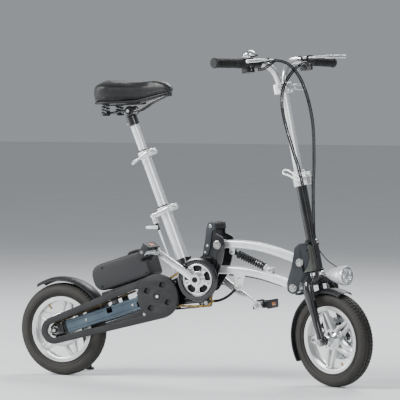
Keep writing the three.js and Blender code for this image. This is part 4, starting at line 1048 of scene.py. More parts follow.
for p in (REAR_UPPER, REAR_LOWER):
    body.append(cross(p, 8, -46, 46, ZINC))
    for s in (-1, 1):
        a, b = span(s, PLATE_IN + 0.5, 20.4)
        body.append(cross(p, 13, a, b, OXIDE, edge=1))
        body.append(lathe([(0, 0), (13.5, 0), (13.5, 1.4), (12.6, 2), (10.6, 2), (10.4, 5.6), (9.2, 6.6),
                           (6.6, 6.6), (6, 5.4), (5, 5.4), (4.6, 3.4), (0, 3.4)],
                          (p[0], s * PLATE_OUT, p[1]), (0, s, 0), ZINC, seg=48, hexed=(8, 9, 10)))
body.append(bolts([((x, s * PLATE_OUT, z), (0, s, 0), 1.0) for s in (-1, 1)
                   for x, z in ((566, 322), (524, 300), (432, 328), (366, 262))], ZINC))
body.append(bolts([((532, -47, 262), (0, -1, 0), 1.0), ((444, -47, 250), (0, -1, 0), 1.0)], ZINC))
piece("centre_frame", "chassis", "black", body, "chassis_frame")

# %% [markdown]
# Two steel straps hold a ribbed rubber grip to lift the folded bike by. The ribs are turned, as in the
# mould.

# %% Carry handle: strap plates and a ribbed grip
strap_line = [(533, 420, 6), (540, 452, 8), (544, 506, 10), (552, 530, 12), (574, 530, 12), (577, 506, 6),
              (566, 500, 6), (560, 450, 8), (552, 420, 6)]
HOLD_AT = (562, 516)  # the grip across the strap plates
straps = []
for s in (-1, 1):
    a, b = span(s, 42.3, 46.4)
    straps.append(plate(strap_line, a, b, GRAPHITE, bevel=1.2))
    a, b = span(s, 35.7, 42.4)
    straps.append(cross(HOLD_AT, 12, a, b, OXIDE))
straps.append(cross(HOLD_AT, 7, -46, 46, ZINC))
straps.append(bolts([((x, s * 46.4, z), (0, s, 0), size) for s in (-1, 1)
                     for x, z, size in ((*HOLD_AT, 1.3), (550, 452, 0.9), (543, 430, 0.9))], ZINC))
piece("strap_plates", "chassis", "graphite", straps, "carry_handle")
hand = [turned(HOLD_AT, [(7.4, -35.4), (13, -35.4), (14, -34.4), (14, -31), (12.6, -30), (12.6, 30),
                         (14, 31), (14, 34.4), (13, 35.4), (7.4, 35.4), (7.4, -35.4)], RUBBER)]
for y in (-27.5 + 5.5 * k for k in range(11)):
    hand.append(turned(HOLD_AT, [(12.2, y - 1.7), (13.8, y - 1.2), (13.8, y + 1.2), (12.2, y + 1.7),
                                 (12.2, y - 1.7)], RUBBER))
piece("hand_grip", "chassis", "rubber", hand, "carry_grip")

# %% [markdown]
# The first chain runs from the crank over the jackshaft and a small idler. Real links laid on the belt
# line look right from near by, where a textured band would not.

# %% Front chain and its idler
piece("drive_chain_front", "chassis", "chain", [chain([(*CRANK, 55), (*JACK, 30), (*JOCKEY, 12)], -68.5,
                                                      BRASSY)], "front_chain")
idler = sprocket(JOCKEY, 9, 9.5, -68.5, MOULDED, 2.4)
idler.append(band(JOCKEY, 5, 7.5, -70.6, -66.4, ZINC))
piece("idler_wheel", "chain_jockey", "black", idler, "chain_jockey")

# %% [markdown]
# ## Cranks
# Forged arms are deep at the spindle and slim at the pedal. A five-window spider carries the chain ring
# between it and a black guard ring, so the windows are holes in a plate with a rounded edge.

# %% Crank arms, spider, ring guard
TIPS = {-1: polar(CRANK, CRANK_LEN, 147), 1: polar(CRANK, CRANK_LEN, -33)}
cranks = []
for s, tip in TIPS.items():
    y = s * ARM_Y
    cranks.append(strut((CRANK[0], y, CRANK[1]), (tip[0], y, tip[1]), (12, 25), (10.4, 19), POLISHED,
                        bevel=3))
    groove = [(CRANK[i] + (tip[i] - CRANK[i]) * t) for t in (0.2, 0.82) for i in (0, 1)]
    cranks.append(strut((groove[0], y + s * 5.4, groove[1]), (groove[2], y + s * 4.9, groove[3]),
                        (1.2, 8), (1.2, 6), SATIN, bevel=0.4))
    a, b = span(s, ARM_Y - 7, ARM_Y + 7)
    cranks.append(turned(CRANK, [(0, a), (17.5, a), (19, a + 1.5), (19, b - 1.5), (17.5, b), (0, b)],
                         POLISHED))
    cranks.append(lathe([(0, 0), (9.5, 0), (9.5, 1.6), (8.4, 2.6), (5, 2.6), (4.4, 1), (0, 1)],
                        (CRANK[0], s * (ARM_Y + 6.6), CRANK[1]), (0, s, 0), OXIDE, seg=40))
    a, b = span(s, ARM_Y - 6.5, ARM_Y + 6.5)
    cranks.append(turned(tip, [(8.3, a), (12.8, a), (14, a + 1.2), (14, b - 1.2), (12.8, b), (8.3, b),
                               (8.3, a)], POLISHED))
cranks.append(cross(CRANK, 12, -ARM_Y, ARM_Y, OXIDE))
corners = ((28, -22, 6), (46, -24, 8), (49, 0, 20), (46, 24, 8), (28, 22, 6), (27, 0, 10))
windows = [[(*polar(CRANK, r, 72 * k + 18 + turn), soft) for r, turn, soft in corners] for k in range(5)]
cranks.append(plate(circle(CRANK, 51.5, 72), -79, -75.4, POLISHED, windows, 1.0))
cranks.append(turned(CRANK, [(47, -79.6), (50, -80.2), (51.4, -79.4), (51.4, -75), (47, -75),
                             (47, -79.6)], POLISHED, seg=96))
cranks.append(turned(CRANK, [(12, -86.9), (18, -86.9), (20, -85), (25, -80), (25, -64), (12, -64),
                             (12, -86.9)], POLISHED))
cranks.append(bolts(facing_y([(*polar(CRANK, 40, 72 * k + 54), -79.4, 0.8) for k in range(5)]), ZINC))
cranks += sprocket(CRANK, 27, 55, -68.5, OXIDE)
piece("crank_set", "crank", "polished", cranks, "crankset")
bash = [turned(CRANK, [(52, -79.4), (54, -80.6), (60, -80.9), (67, -80.2), (71, -78), (72, -75.6),
                       (71.4, -73.8), (69, -73.4), (52, -73.4), (52, -79.4)], ENAMEL, seg=128)]
for r in (57.5, 64.5):
    bash.append(turned(CRANK, [(r - 0.7, -81.3), (r + 0.7, -81.3), (r + 0.9, -80), (r - 0.9, -80),
                               (r - 0.7, -81.3)], ENAMEL, seg=128))
piece("chain_ring_guard", "crank", "black", bash, "guard_ring")


# %% [markdown]
# The cage's teeth grip a shoe. They are small blocks along the plates, because each pedal has so few.

# %% Pedals: cage plates with teeth, a silver barrel and amber reflectors
def pedal(name, s, tilt):
    """Axle and cage on side s (-1 is the right), the cage tipped by tilt degrees."""
    tip = TIPS[s]
    y = s * ARM_Y
    mid = y + s * 66

    def out(d):
        return (tip[0], y + s * d, tip[1])

    spindle = [rod(out(-8), out(15), 8, ZINC), rod(out(14.5), out(20), 12.6, ZINC, seg=24),
               rod(out(19), out(112), 6, ZINC), nut(out(111), (0, s, 0), 5.4, 3, 0.8)]
    piece(name + "_axle", "crank", "satin", spindle, name + "_spindle")
    held = Matrix.Translation((0, mid, 0)) @ leaned(tip, tilt)
    cage = []
    for x in (-1, 1):
        cage.append(block((x * 25.5, 0, 0), (6.4, 88, 26.5), MOULDED, bevel=1.8, at=held))
        if x > 0:
            cage.append(block((x * 28.6, 0, 0), (1.6, 30, 11), AMBER, bevel=0.6, at=held))
        cage.append(block((x * 28.2, 0, 0), (1.6, 52, 18), MOULDED, bevel=0.6, at=held))
        for z in (-1, 1):
            for k in range(7):
                cage.append(block((x * 25.5, -36 + 12 * k, z * 13), (5.4, 6, 3.4), MOULDED, bevel=0.9,
                                  at=held))
    for e in (-1, 1):
        cage.append(block((0, e * 41.2, 0), (50, 5.6, 22), MOULDED, bevel=1.6, at=held))
    for x in (-12, 12):
        cage.append(block((x, 0, 0), (4, 80, 15), MOULDED, bevel=1.2, at=held))
    start = min(y + s * 24, y + s * 108)
    core = [(7, 0), (10, 0), (12, 2), (12, 10), (9.6, 16), (9.6, 68), (12, 74), (12, 82), (10, 84),
            (7, 84), (7, 0)]
    cage.append(lathe(core, (tip[0], start, tip[1]), (0, 1, 0), SATIN))
    piece(name + "_body", name, "plastic", cage, name + "_cage")


pedal("pedal_right", -1, 58)
pedal("pedal_left", 1, 4)

# %% [markdown]
# ## Seat column
# Three aluminium tubes slide into one another, each held by a split collar with a cam lever. The
# collars are drawn round the column's own axis and then leaned back with it.


# %% Collars and levers, shared by the seat and handlebar columns
def collar(z, r, inner, tall, material, at):
    """Split collar: a ring with two ears in front and a slit between them."""
    arc = [(*polar((0, 0), r, a), 0) for a in range(14, 347, 6)]
    back = [(*polar((0, 0), inner, a), 0) for a in range(346, 13, -6)]
    bits = [flat(arc + back, z - tall / 2, z + tall / 2, material, bevel=0.8, at=at)]
    for s in (-1, 1):
        ear = [(r - 5, s * 7, 0), (r + 11, s * 7, 5), (r + 17, s * 8, 5), (r + 17, s * 14, 3),
               (r - 3, s * 15, 3)]
        bits.append(flat(ear if s > 0 else ear[::-1], z - tall / 2 + 1, z + tall / 2 - 1, material,
                         bevel=0.9, at=at))
    return bits


def cam_lever(z, r, length, rise, at, material=POLISHED):
    """Skewer, barrel nut on the left, cam and curved lever on the right that wraps back."""
    x = r + 9
    bits = [rod((x, -30, z), (x, 24, z), 3.4, ZINC, at, seg=16),
            lathe([(0, 0), (8, 0), (8, 4), (6.6, 8), (5, 8.6), (0, 8.6)], (x, 15.4, z), (0, 1, 0), ZINC,
                  at, 24, (1, 2, 3)), rod((x, -34, z), (x, -15.4, z), 8, material, at),
            tube([(x + 2, -29, z), (x - 8, -34, z + rise * 0.06), (x - length * 0.4, -37, z + rise * 0.4),
                  (x - length * 0.75, -37.4, z + rise * 0.8), (x - length, -35.5, z + rise)], 4.8,
                 material, at, 6, radii=[1.2, 1.25, 0.95, 0.95, 1.3]),
            block((x - length, -35.5, z + rise), (20, 6, 11), material,
                  -math.degrees(math.atan2(rise, length)), 2.6, at)]
    return bits


LOW, MID0, MID1, POST0, POST1 = 274, 150, 472, 372, 596
tube_low = [ring((0, 0, 60), (0, 0, LOW - 4), 20, 17.3, SATIN, SEAT)]
tube_low += collar(LOW - 10, 25, 19.6, 22, BLASTED, SEAT)
tube_low.append(lathe([(17.3, LOW), (21, LOW), (22, LOW + 1), (22, LOW + 4), (20, LOW + 6),
                       (17.3, LOW + 6), (17.3, LOW)], (0, 0, 0), (0, 0, 1), MOULDED, SEAT))
tube_low.append(block((-33, 0, LOW - 14), (28, 20, 13), BLASTED, 0, 2, SEAT))
tube_low += [block((-46, s * 8, LOW - 26), (12, 5.6, 28), BLASTED, 0, 2, SEAT) for s in (-1, 1)]
tube_low.append(bolts([((-46, s * 10.8, LOW - 30), (0, s, 0), 0.7) for s in (-1, 1)], ZINC, SEAT))
piece("seat_tube_lower", "chassis", "satin", tube_low, "seat_tube")
piece("cam_lever_lower", "seat_lever_lower", "polished", cam_lever(LOW - 10, 25, 66, -4, SEAT),
      "seat_lever_lower")
middle = [ring((0, 0, MID0), (0, 0, MID1 - 4), 17, 14.6, SATIN, SEAT)]
middle += collar(MID1 - 10, 22, 16.6, 22, BLASTED, SEAT)
middle.append(lathe([(14.6, MID1), (18, MID1), (19, MID1 + 1), (19, MID1 + 4), (17, MID1 + 6),
                     (14.6, MID1 + 6), (14.6, MID1)], (0, 0, 0), (0, 0, 1), MOULDED, SEAT))
piece("seat_tube_middle", "seat_mid", "satin", middle, "seat_tube_mid")
piece("cam_lever_upper", "seat_lever_upper", "polished", cam_lever(MID1 - 10, 22, 62, -14, SEAT),
      "seat_lever_upper")
piece("seat_post_top", "seat_top", "satin", [rod((0, 0, POST0), (0, 0, POST1), 14.3, SATIN, SEAT,
                                                 edge=1)], "seat_post")
pull = [tube([(-46, 0, 34), (-46, 0, 90), (-46, 0, 160), (-46, 0, LOW - 40)], 3.4, SATIN, SEAT, 3),
        block((-46, 0, 40), (18, 14, 12), BLASTED, 0, 2, SEAT),
        rod((-46, 0, LOW - 64), (-46, 0, LOW - 40), 4.6, OXIDE, SEAT),
        strut((-44, 0, LOW - 54), (-84, 0, LOW - 40), (12, 12), (20, 9), BLASTED, SEAT, bevel=3)]
piece("release_pull", "release_rod", "satin", pull, "release_rod")

# %% [markdown]
# ## Saddle
# A foam pad under leatherette, on a moulded base with steel rails and two coil springs. A subdivided
# cage could give the form, but a short cloth simulation with air pressure rounds the pad as stretched
# cover over foam does. The cap on movement keeps its size. The seam and its stitches come afterwards.

# %% Saddle pad
saddle_form = [(139, 40, 966), (145, 70, 977), (158, 91, 985), (182, 102, 990), (210, 97, 988),
               (240, 77, 985), (270, 53, 983), (305, 35, 984), (345, 27, 988), (378, 24, 987),
               (395, 19, 981), (405, 11, 971)]


def pad_floor(x):
    """Height of the pad's underside before its skirt is drawn down."""
    return 936.5 + (x - 140) * 0.05


def pad_mesh():
    """The pad before it is blown up: sections along the saddle with a shallow channel on top."""
    rows = smooth_line(saddle_form, 4)
    seg = 48
    verts, faces = [], []
    for x, w, top in rows:
        low = pad_floor(x)
        for i in range(seg):
            a = 2 * math.pi * i / seg
            c, s = math.cos(a), math.sin(a)
            y = w * math.copysign(abs(c) ** 0.8, c)
            z = (top + low) / 2 + (top - low) / 2 * math.copysign(abs(s) ** 0.72, s)
            if s > 0:
                z -= 5 * math.exp(-(y / 13) ** 2) * s * max(0, min(1, (300 - x) / 60))
            verts.append((x, y, z))
    for j in range(len(rows) - 1):
        for i in range(seg):
            n = (i + 1) % seg
            faces.append((j * seg + i, j * seg + n, (j + 1) * seg + n, (j + 1) * seg + i))
    faces.append(tuple(range(seg)))
    faces.append(tuple(range((len(rows) - 1) * seg, len(rows) * seg))[::-1])
    return mesh_bit(verts, faces, LEATHER, crease=80)


def apply_modifiers(obj):
    """Works the object's modifiers into its own mesh."""
    mesh = worked_mesh(obj)
    obj.modifiers.clear()
    obj.data = mesh


def inflate(obj, voxel_mm, cap_mm, pressure):
    """Blows the pad up as cloth under air pressure; no point moves further than the cap."""
    remesh = obj.modifiers.new("voxels", "REMESH")
    remesh.mode = "VOXEL"
    remesh.voxel_size = voxel_mm / 1000
    apply_modifiers(obj)
    rest = [v.co.copy() for v in obj.data.vertices]
    cloth = obj.modifiers.new("cloth", "CLOTH").settings
    cloth.use_pressure = True
    cloth.uniform_pressure_force = pressure
    cloth.effector_weights.gravity = 0
    for k in range(1, 21):
        bpy.context.scene.frame_set(k)
    blown = obj.evaluated_get(bpy.context.evaluated_depsgraph_get()).data
    moved = [v.co.copy() for v in blown.vertices]
    obj.modifiers.clear()
    for v, a, b in zip(obj.data.vertices, rest, moved):
        d = b - a
        v.co = a + d * min(1, cap_mm / 1000 / max(d.length, 1e-9))
    smooth = obj.modifiers.new("even out", "SMOOTH")
    smooth.factor, smooth.iterations = 0.5, 3
    rounder = obj.modifiers.new("subdivide", "SUBSURF")
    rounder.levels = rounder.render_levels = 1
    apply_modifiers(obj)
    obj.data.materials.clear()
    obj.data.materials.append(LEATHER)
    obj.data.shade_smooth()
    print("pad:", len(rest), "points simulated")
    return obj


pad = inflate(pad_mesh(), 5, 6, 4.0)


def skirt(x):
    """How far the pad's lower edge hangs below its floor: deep at the back, tucked up at the nose."""
    return 21 if x < 285 else 21 - 29 * min(1, (x - 285) / 120)


inward = MM.inverted()
for v in pad.data.vertices:
    spot = inward @ v.co
    share = max(0, min(1, (970 - spot.z) / 32))
    spot.z -= skirt(spot.x) * share * share * (3 - 2 * share)
    v.co = MM @ spot

# %% [markdown]
# The cover is sewn round its edge. The thread line is traced on the finished pad, since the remesh
# would have swallowed a seam that was there before.

# %% Seam round the pad, pressed onto its surface


def on_pad(x, y, z, out=0.0):
    """The nearest point of the pad's surface, moved out by a few tenths."""
    _, spot, normal, _ = pad.closest_point_on_mesh(MM @ Vector((x, y, z)))
    return MM.inverted() @ (spot + normal * out / 1000)


loop = [(x, w * 1.02, pad_floor(x) - skirt(x) + 12) for x, w, _ in smooth_line(saddle_form[1:], 5)]
loop = [(x, -y, z) for x, y, z in loop] + loop[::-1]
seam = tube([on_pad(*p, 0.1) for p in loop], 1.5, LEATHER, steps=3, cyclic=True, sides=2)
lines = [tube([on_pad(*p, 0.2) + Vector((0, 0, dz)) for p in loop], 0.5, LEATHER, steps=3, cyclic=True,
              sides=1) for dz in (4.2, -4.2)]
seat = piece("saddle_pad", "seat_top", "leather", [pad, seam, *lines], "saddle_cover")

# %% [markdown]
# A moulded shell carries the foam, and steel rails carry the shell. The rails are bent wire, so a swept
# tube follows them.

# %% Saddle base, rails, clamp and springs
base_rows = [(x, w * 0.86 - 3, pad_floor(x) - skirt(x) * 0.8 + 4, pad_floor(x) - skirt(x) - 4) for x, w,
             _ in smooth_line(saddle_form[1:-1], 3)]
RING = 40  # points round each row
verts, faces = [], []
for x, w, top, low in base_rows:
    for i in range(RING):
        a = 2 * math.pi * i / RING
        c, s = math.cos(a), math.sin(a)
        verts.append((x, w * math.copysign(abs(c) ** 0.6, c),
                      (top + low) / 2 + (top - low) / 2 * math.copysign(abs(s) ** 0.4, s)))
for j in range(len(base_rows) - 1):
    for i in range(RING):
        n = (i + 1) % RING
        faces.append((j * RING + i, j * RING + n, (j + 1) * RING + n, (j + 1) * RING + i))
faces += [tuple(range(RING)), tuple(range((len(base_rows) - 1) * RING, len(base_rows) * RING))[::-1]]
base = [mesh_bit(verts, faces, MOULDED, crease=50)]
base += [block((235, s * 22, 915), (120, 4, 8), MOULDED, 3) for s in (-1, 1)]
piece("saddle_shell", "seat_top", "plastic", base, "saddle_base")
under = []
for s in (-1, 1):
    under.append(tube([(182, s * 50, 884), (205, s * 42, 886), (228, s * 24, 893), (280, s * 20, 894),
                       (332, s * 14, 922), (384, s * 9, 944)], 3.8, ENAMEL, steps=8))
    under.append(spring((184, s * 54, 882), (184, s * 54, 925), 13, 2.3, 4.5, SPRING_BLACK))
    for low, high, r, metal in ((876, 882, 15, ENAMEL), (922, 928, 15, ENAMEL), (880, 926, 4, ZINC)):
        under.append(rod((184, s * 54, low), (184, s * 54, high), r, metal))
under.append(block((387, 0, 946), (16, 30, 9), ENAMEL, 0, 2))
RAIL_X, RAIL_Z = 11, 614  # the rail clamp's bolt, in the seat column's frame
under += [ring((0, 0, 566), (0, 0, 597), 18.6, 14.5, ENAMEL, SEAT, 1.5),
          rod((0, 0, 596), (0, 0, 606), 18.6, ENAMEL, SEAT, edge=3),
          rod((RAIL_X, -30, RAIL_Z), (RAIL_X, 30, RAIL_Z), 14.4, ENAMEL, SEAT, edge=2),
          rod((RAIL_X, -38, RAIL_Z), (RAIL_X, 38, RAIL_Z), 4, ZINC, SEAT)]
for s in (-1, 1):
    under.append(rod((RAIL_X, s * 17, RAIL_Z), (RAIL_X, s * 27, RAIL_Z), 16.5, ENAMEL, SEAT, edge=2))
    under.append(nut((RAIL_X, s * 34, RAIL_Z), (0, s, 0), 6.5, 4, 0.9, SEAT))
under.append(nut((-17.5, 0, 580), (-1, 0, 0), 6.5, 4, 0.9, SEAT))
piece("saddle_undercarriage", "seat_top", "black", under, "saddle_frame")

# %% [markdown]
# ## Front linkage
# Two arched alloy beams make a parallelogram with the side plates and the head bracket. Each is a
# rectangular extrusion with generous corner radii, so a plate with a large rounded edge is the honest
# shape. The coil-over shock hangs between them.

# %% Beams
BEAM_HALF = 20


def bent(line, half):
    """Outline of a bar of even width along a smooth line."""
    line = smooth_line([(x, 0, z) for x, z in line], 5)
    left, right = [], []
    for i, p in enumerate(line):
        t = (line[min(i + 1, len(line) - 1)] - line[max(i - 1, 0)]).normalized()
        left.append((p.x - half * t.z, p.z + half * t.x, 0))
        right.append((p.x + half * t.z, p.z - half * t.x, 0))
    return left + right[::-1]


def beam(line, half=13):
    """An arched beam with a boss and two bushes at each end."""
    bits = [plate(bent(line, half), -BEAM_HALF, BEAM_HALF, SATIN, bevel=5, crease=60)]
    for p in (line[0], line[-1]):
        bits.append(turned(p, [(8.2, -BEAM_HALF), (14.6, -BEAM_HALF), (15.5, -19), (15.5, 19),
                               (14.6, BEAM_HALF), (8.2, BEAM_HALF), (8.2, -BEAM_HALF)], SATIN))
        bits += [band(p, 8.1, 11.5, s * 18, s * 20.3, MOULDED) for s in (-1, 1)]
    return bits


def clevis(p, root, material):
    """Two ears and a pin that hold an eye of the shock."""
    bits = []
    tip = p[1] + math.copysign(8, p[1] - root)
    line = [(p[0] - 10, root, 2), (p[0] - 9.5, tip, 9), (p[0] + 9.5, tip, 9), (p[0] + 10, root, 2)]
    for s in (-1, 1):
        bits.append(plate(line, *span(s, 7.5, 12.5), material, bevel=1.0))
    bits.append(cross(p, 4, -12.4, 12.4, ZINC))
    bits.append(bolts([((p[0], s * 12.3, p[1]), (0, s, 0), 1.1) for s in (-1, 1)], ZINC))
    return bits


upper_line = [REAR_UPPER, (620, 457), (665, 456), (717, 450), (768, 438.5), (815, 424.5), (850, 412.5),
              FRONT_UPPER]
lower_line = [REAR_LOWER, (600, 371.5), (660, 369), (717, 361), (770, 348), (823, 331), FRONT_LOWER]
piece("beam_upper", "upper_beam", "satin", beam(upper_line) + clevis(SHOCK_UP, 447, SATIN), "upper_beam")
low_beam = beam(lower_line) + clevis(SHOCK_LOW, 358, BLASTED)
low_beam.append(plate([(630, 366, 2), (674, 362, 2), (663, 312, 9), (648, 303, 12), (634, 312, 9)], -19.5,
                      -13.5, BLASTED, [circle((651, 345), 4, 12)], 1.4))
low_beam.append(cross((649, 316), 9, -29, -13.6, BLASTED, edge=1.5))
low_beam.append(bolts([((649, -29, 316), (0, -1, 0), 1.2)], ZINC))
low_beam.append(tube([(560, -27, 268), (585, -25, 272), (612, -24, 285), (634, -24, 303),
                      (649, -24, 316)], 4.5, OXIDE, steps=8))
low_beam.append(plate(bent([(612, 355.6), (660, 354), (717, 346), (770, 333), (800, 324)], 2.4), -12, 12,
                      OXIDE, bevel=1.2))
piece("beam_lower", "lower_beam", "satin", low_beam, "lower_beam")

# %% [markdown]
# A damper inside a coil spring. Its rod slides into the body, so the two ride on two bodies; the coil stands
# between their collars and rides with the body.

# %% Shock absorber
up_eye, low_eye = Vector((SHOCK_UP[0], 0, SHOCK_UP[1])), Vector((SHOCK_LOW[0], 0, SHOCK_LOW[1]))
shock_way = (low_eye - up_eye).normalized()
SHOCK_LEN = (low_eye - up_eye).length


def on_shock(d):
    """The point a distance d down the shock's axis from its upper eye."""
    return up_eye + shock_way * d


def eye(p, material):
    """An eye of the shock, round its pin."""
    return turned((p.x, p.z), [(4.6, -7), (8.2, -7), (9, -6), (9, 6), (8.2, 7), (4.6, 7), (4.6, -7)],
                  material)


shock = [eye(up_eye, OXIDE), rod(on_shock(6), on_shock(22), 6.4, OXIDE),
         lathe([(0, 0), (12.6, 0), (13.5, 1), (13.5, 5), (12, 6.4), (0, 6.4)], on_shock(20), shock_way,
               SPRING_BLACK), rod(on_shock(22), on_shock(84), 7.4, OXIDE, edge=1.5)]
piece("shock_cylinder", "shock_body", "black", shock, "shock_body")
coil_foot, coil_top = on_shock(28), on_shock(SHOCK_LEN - 32)
coil = piece("shock_coil", "shock_body", "black",
             [spring(coil_foot, coil_top, 11.2, 2.3, 9.5, SPRING_BLACK)], "shock_spring")
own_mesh(coil)
lower = [eye(low_eye, BLASTED), rod(on_shock(46), on_shock(SHOCK_LEN - 6), 4.1, CHROME),
         lathe([(0, 0), (12, 0), (13, 1), (13, 5), (12, 6), (0, 6)], on_shock(SHOCK_LEN - 30), shock_way,
               SPRING_BLACK), rod(on_shock(SHOCK_LEN - 25), on_shock(SHOCK_LEN - 15), 9.4, BLASTED,
                                  edge=1.5), rod(on_shock(SHOCK_LEN - 16), on_shock(SHOCK_LEN - 4), 6.4,
                                                 BLASTED)]
piece("shock_rod_set", "shock_rod", "polished", lower, "shock_rod")

# %% [markdown]
# Two cheeks and a folded front plate turn about the head tube. A plate lying down makes the fold in one
# piece.

# %% Head bracket
cheek = [(856, 452, 14), (872, 466, 14), (896, 470, 8), (908, 420, 6), (894, 376, 12), (874, 342, 10),
         (869, 308, 12), (850, 299, 18), (831, 310, 14), (830, 338, 10), (846, 392, 14)]
head = []
for s in (-1, 1):
    a, b = span(s, PLATE_IN, PLATE_OUT)
    head.append(plate(cheek, a, b, GRAPHITE, bevel=1.4))
    for p in (FRONT_UPPER, FRONT_LOWER):
        head.append(lathe([(0, 0), (13, 0), (13, 1.4), (12.2, 2), (10.4, 2), (10.2, 5.2), (9, 6.2),
                           (6.4, 6.2), (5.8, 5.2), (5, 5.2), (4.6, 3.4), (0, 3.4)],
                          (p[0], s * PLATE_OUT, p[1]), (0, s, 0), ZINC, seg=48, hexed=(8, 9, 10)))
        a, b = span(s, PLATE_IN + 0.5, 20.4)
        head.append(cross(p, 13, a, b, OXIDE, edge=1))
for p in (FRONT_UPPER, FRONT_LOWER):
    head.append(cross(p, 8, -46, 46, ZINC))
wedge = [(-34, -42, 2), (-22, -42, 4), (8, -20, 8), (8, 20, 8), (-22, 42, 4), (-34, 42, 2), (-34, 36, 0),
         (-25, 36, 3), (-8, 21, 6), (-8, -21, 6), (-25, -36, 3), (-34, -36, 0)]
# The front plate takes the paler coat: a painted highlight for the face that catches the light.
head.append(flat(wedge, 226, 312, PAINTED_HIGHLIGHT_COAT, bevel=1.5, at=HEAD))
head.append(ring((0, 0, 222.4), (0, 0, 314.6), 21, 16.4, GRAPHITE, HEAD, 1))
for z in (223.5, 307.5):
    head.append(lathe([(16.4, z), (22.6, z), (23.4, z + 1), (23.4, z + 5.6), (22.6, z + 6.6),
                       (16.4, z + 6.6), (16.4, z)], (0, 0, 0), (0, 0, 1), OXIDE, HEAD))
head.append(block((866, 0, 301), (16, 78, 7), GRAPHITE, 0, 2))
head.append(bolts([((902, s * PLATE_OUT, 446), (0, s, 0), 0.8) for s in (-1, 1)], OXIDE))
piece("head_bracket_set", "head", "graphite", head, "head_bracket")

# %% [markdown]
# ## Fork, guard and lamp
# Everything from here turns with the handlebar, so it is drawn in the steered frame: x is forward along
# the wheel and z runs up the steering axis. The fork's blades start as broad shells at the crown and
# narrow to round legs with dropouts.

# %% Fork
FX, FZ = FRONT_AXLE
LEG_Y = 60
fork = []
for s in (-1, 1):
    fork.append(tube([(0, s * 38, 198), (2, s * 53, 190), (4, s * LEG_Y, 168), (7, s * LEG_Y, 120),
                      (12, s * LEG_Y, 60), (FX, s * LEG_Y, FZ + 8)], 13, ENAMEL, STEER, 8, 6,
                     radii=[1.25, 1.3, 1.3, 1.15, 0.95, 0.9]))
    fork.append(block((3, s * 58, 158), (40, 18, 66), ENAMEL, 4, 7, STEER, 3, taper=(0.7, 0.8)))
    fork.append(plate([(FX - 15, FZ + 34, 8), (FX - 15, FZ - 10, 14), (FX + 15, FZ - 12, 14),
                       (FX + 13, FZ + 34, 8)], s * LEG_Y - 4, s * LEG_Y + 4, ENAMEL, bevel=1.5, at=STEER))
    a, b = span(s, LEG_Y - 8, LEG_Y + 8)
    fork.append(turned((FX, FZ), [(0, a), (14, a), (15, a + 1), (15, b - 1), (14, b), (0, b)], ENAMEL, STEER))
    fork.append(lathe([(0, 0), (12, 0), (12, 2), (9.5, 2), (9.5, 9), (8.4, 10), (0, 10)],
                      (FX, s * (LEG_Y + 6.6), FZ), (0, s, 0), ZINC, STEER, 48, (3, 4, 5)))
fork.append(cross((FX, FZ), 6, -76, 76, ZINC, STEER, 1))
fork.append(flat([(-16, -50, 10), (18, -50, 10), (25, 0, 14), (18, 50, 10), (-16, 50, 10), (-24, 0, 14)],
                 180, 206, ENAMEL, bevel=5, at=STEER))
fork.append(lathe([(0, 200), (24, 200), (24, 207), (22, 209), (0, 209)], (0, 0, 0), (0, 0, 1), ENAMEL, STEER))
fork.append(block((32, 0, 183), (36, 22, 6), ENAMEL, 0, 1.5, STEER))
caliper_at = STEER @ Matrix.Translation((FX - 46, 0, FZ + 52)) @ Matrix.Rotation(math.radians(42), 4, "Y")
fork += [block((0, 44, 0), (34, 13, 46), OXIDE, 0, 4, caliper_at),
         block((-6, 29, 0), (22, 8, 40), OXIDE, 0, 3, caliper_at),
         block((14, 36, 0), (8, 26, 40), OXIDE, 0, 2.5, caliper_at)]
fork.append(rod((-2, 50, 0), (-2, 54, 0), 9, ZINC, caliper_at))
fork.append(block((FX - 26, 54, FZ + 52), (40, 9, 24), ENAMEL, 0, 3, STEER))
fork.append(bolts([((FX - 12, 49.4, FZ + 60), (0, -1, 0), 0.9),
                   ((FX - 12, 49.4, FZ + 44), (0, -1, 0), 0.9)], ZINC, STEER))
piece("fork_set", "steering", "black", fork, "fork")

blade = [guard_arc(FRONT_AXLE, 163, 58, 198, MOULDED, STEER, 34),
         rod((4, 0, FZ + 164), (4, 0, 180), 8, OXIDE, STEER)]
piece("blade_guard_front", "steering", "plastic", blade, "front_mudguard")

# %% [markdown]
# ## Headlight
# A turned shell widens to a rim in the same satin silver. Behind the clear cover, five pressed cups round a
# white centre throw the light forward, so the reflector is made of small bowls set in a ring by the tree.

# %% Lamp shell, reflector cups, cover
LAMP = Vector((127, 0, 190))
lamp_back = Vector((-math.cos(math.radians(12)), 0, math.sin(math.radians(12))))
lamp = [lathe([(0, 14), (29, 14), (29.4, 1.2), (30.6, 0.4), (32.6, 1), (33, 2.6), (33, 10), (32.2, 12),
               (31.6, 13), (31.4, 20), (29.5, 30), (26.4, 42), (22.4, 55), (18.4, 66), (15.6, 72),
               (12.4, 80), (9.6, 85), (8, 86), (0, 86)], LAMP, lamp_back, SATIN, STEER, 72)]
side_y = -lamp_back
side_x = Vector((0, 0, 1)).cross(side_y).normalized()
side_z = side_x.cross(side_y)
LAMP_AT = Matrix((side_x, side_y, side_z)).transposed().to_4x4()
LAMP_AT.translation = LAMP + lamp_back * 12
petal = lathe([(0, -1), (11.6, -1), (11.6, 7.4), (11, 7.6), (7.6, 2.6), (3.2, 0.5), (0, 0)], (0, 0, 16),
              (0, 1, 0), CHROME, seg=24)
lamp.append(ring_of(petal, 5, (0, 0), CHROME, STEER @ LAMP_AT, 18))
lamp.append(lathe([(0, 0), (3.4, 0), (3.4, 4), (2.2, 6), (0, 6.4)], (0, 1, 0), (0, 1, 0), WHITE,
                  STEER @ LAMP_AT, 20))
lamp.append(block((66, 0, 182), (26, 22, 10), ENAMEL, 0, 2, STEER))
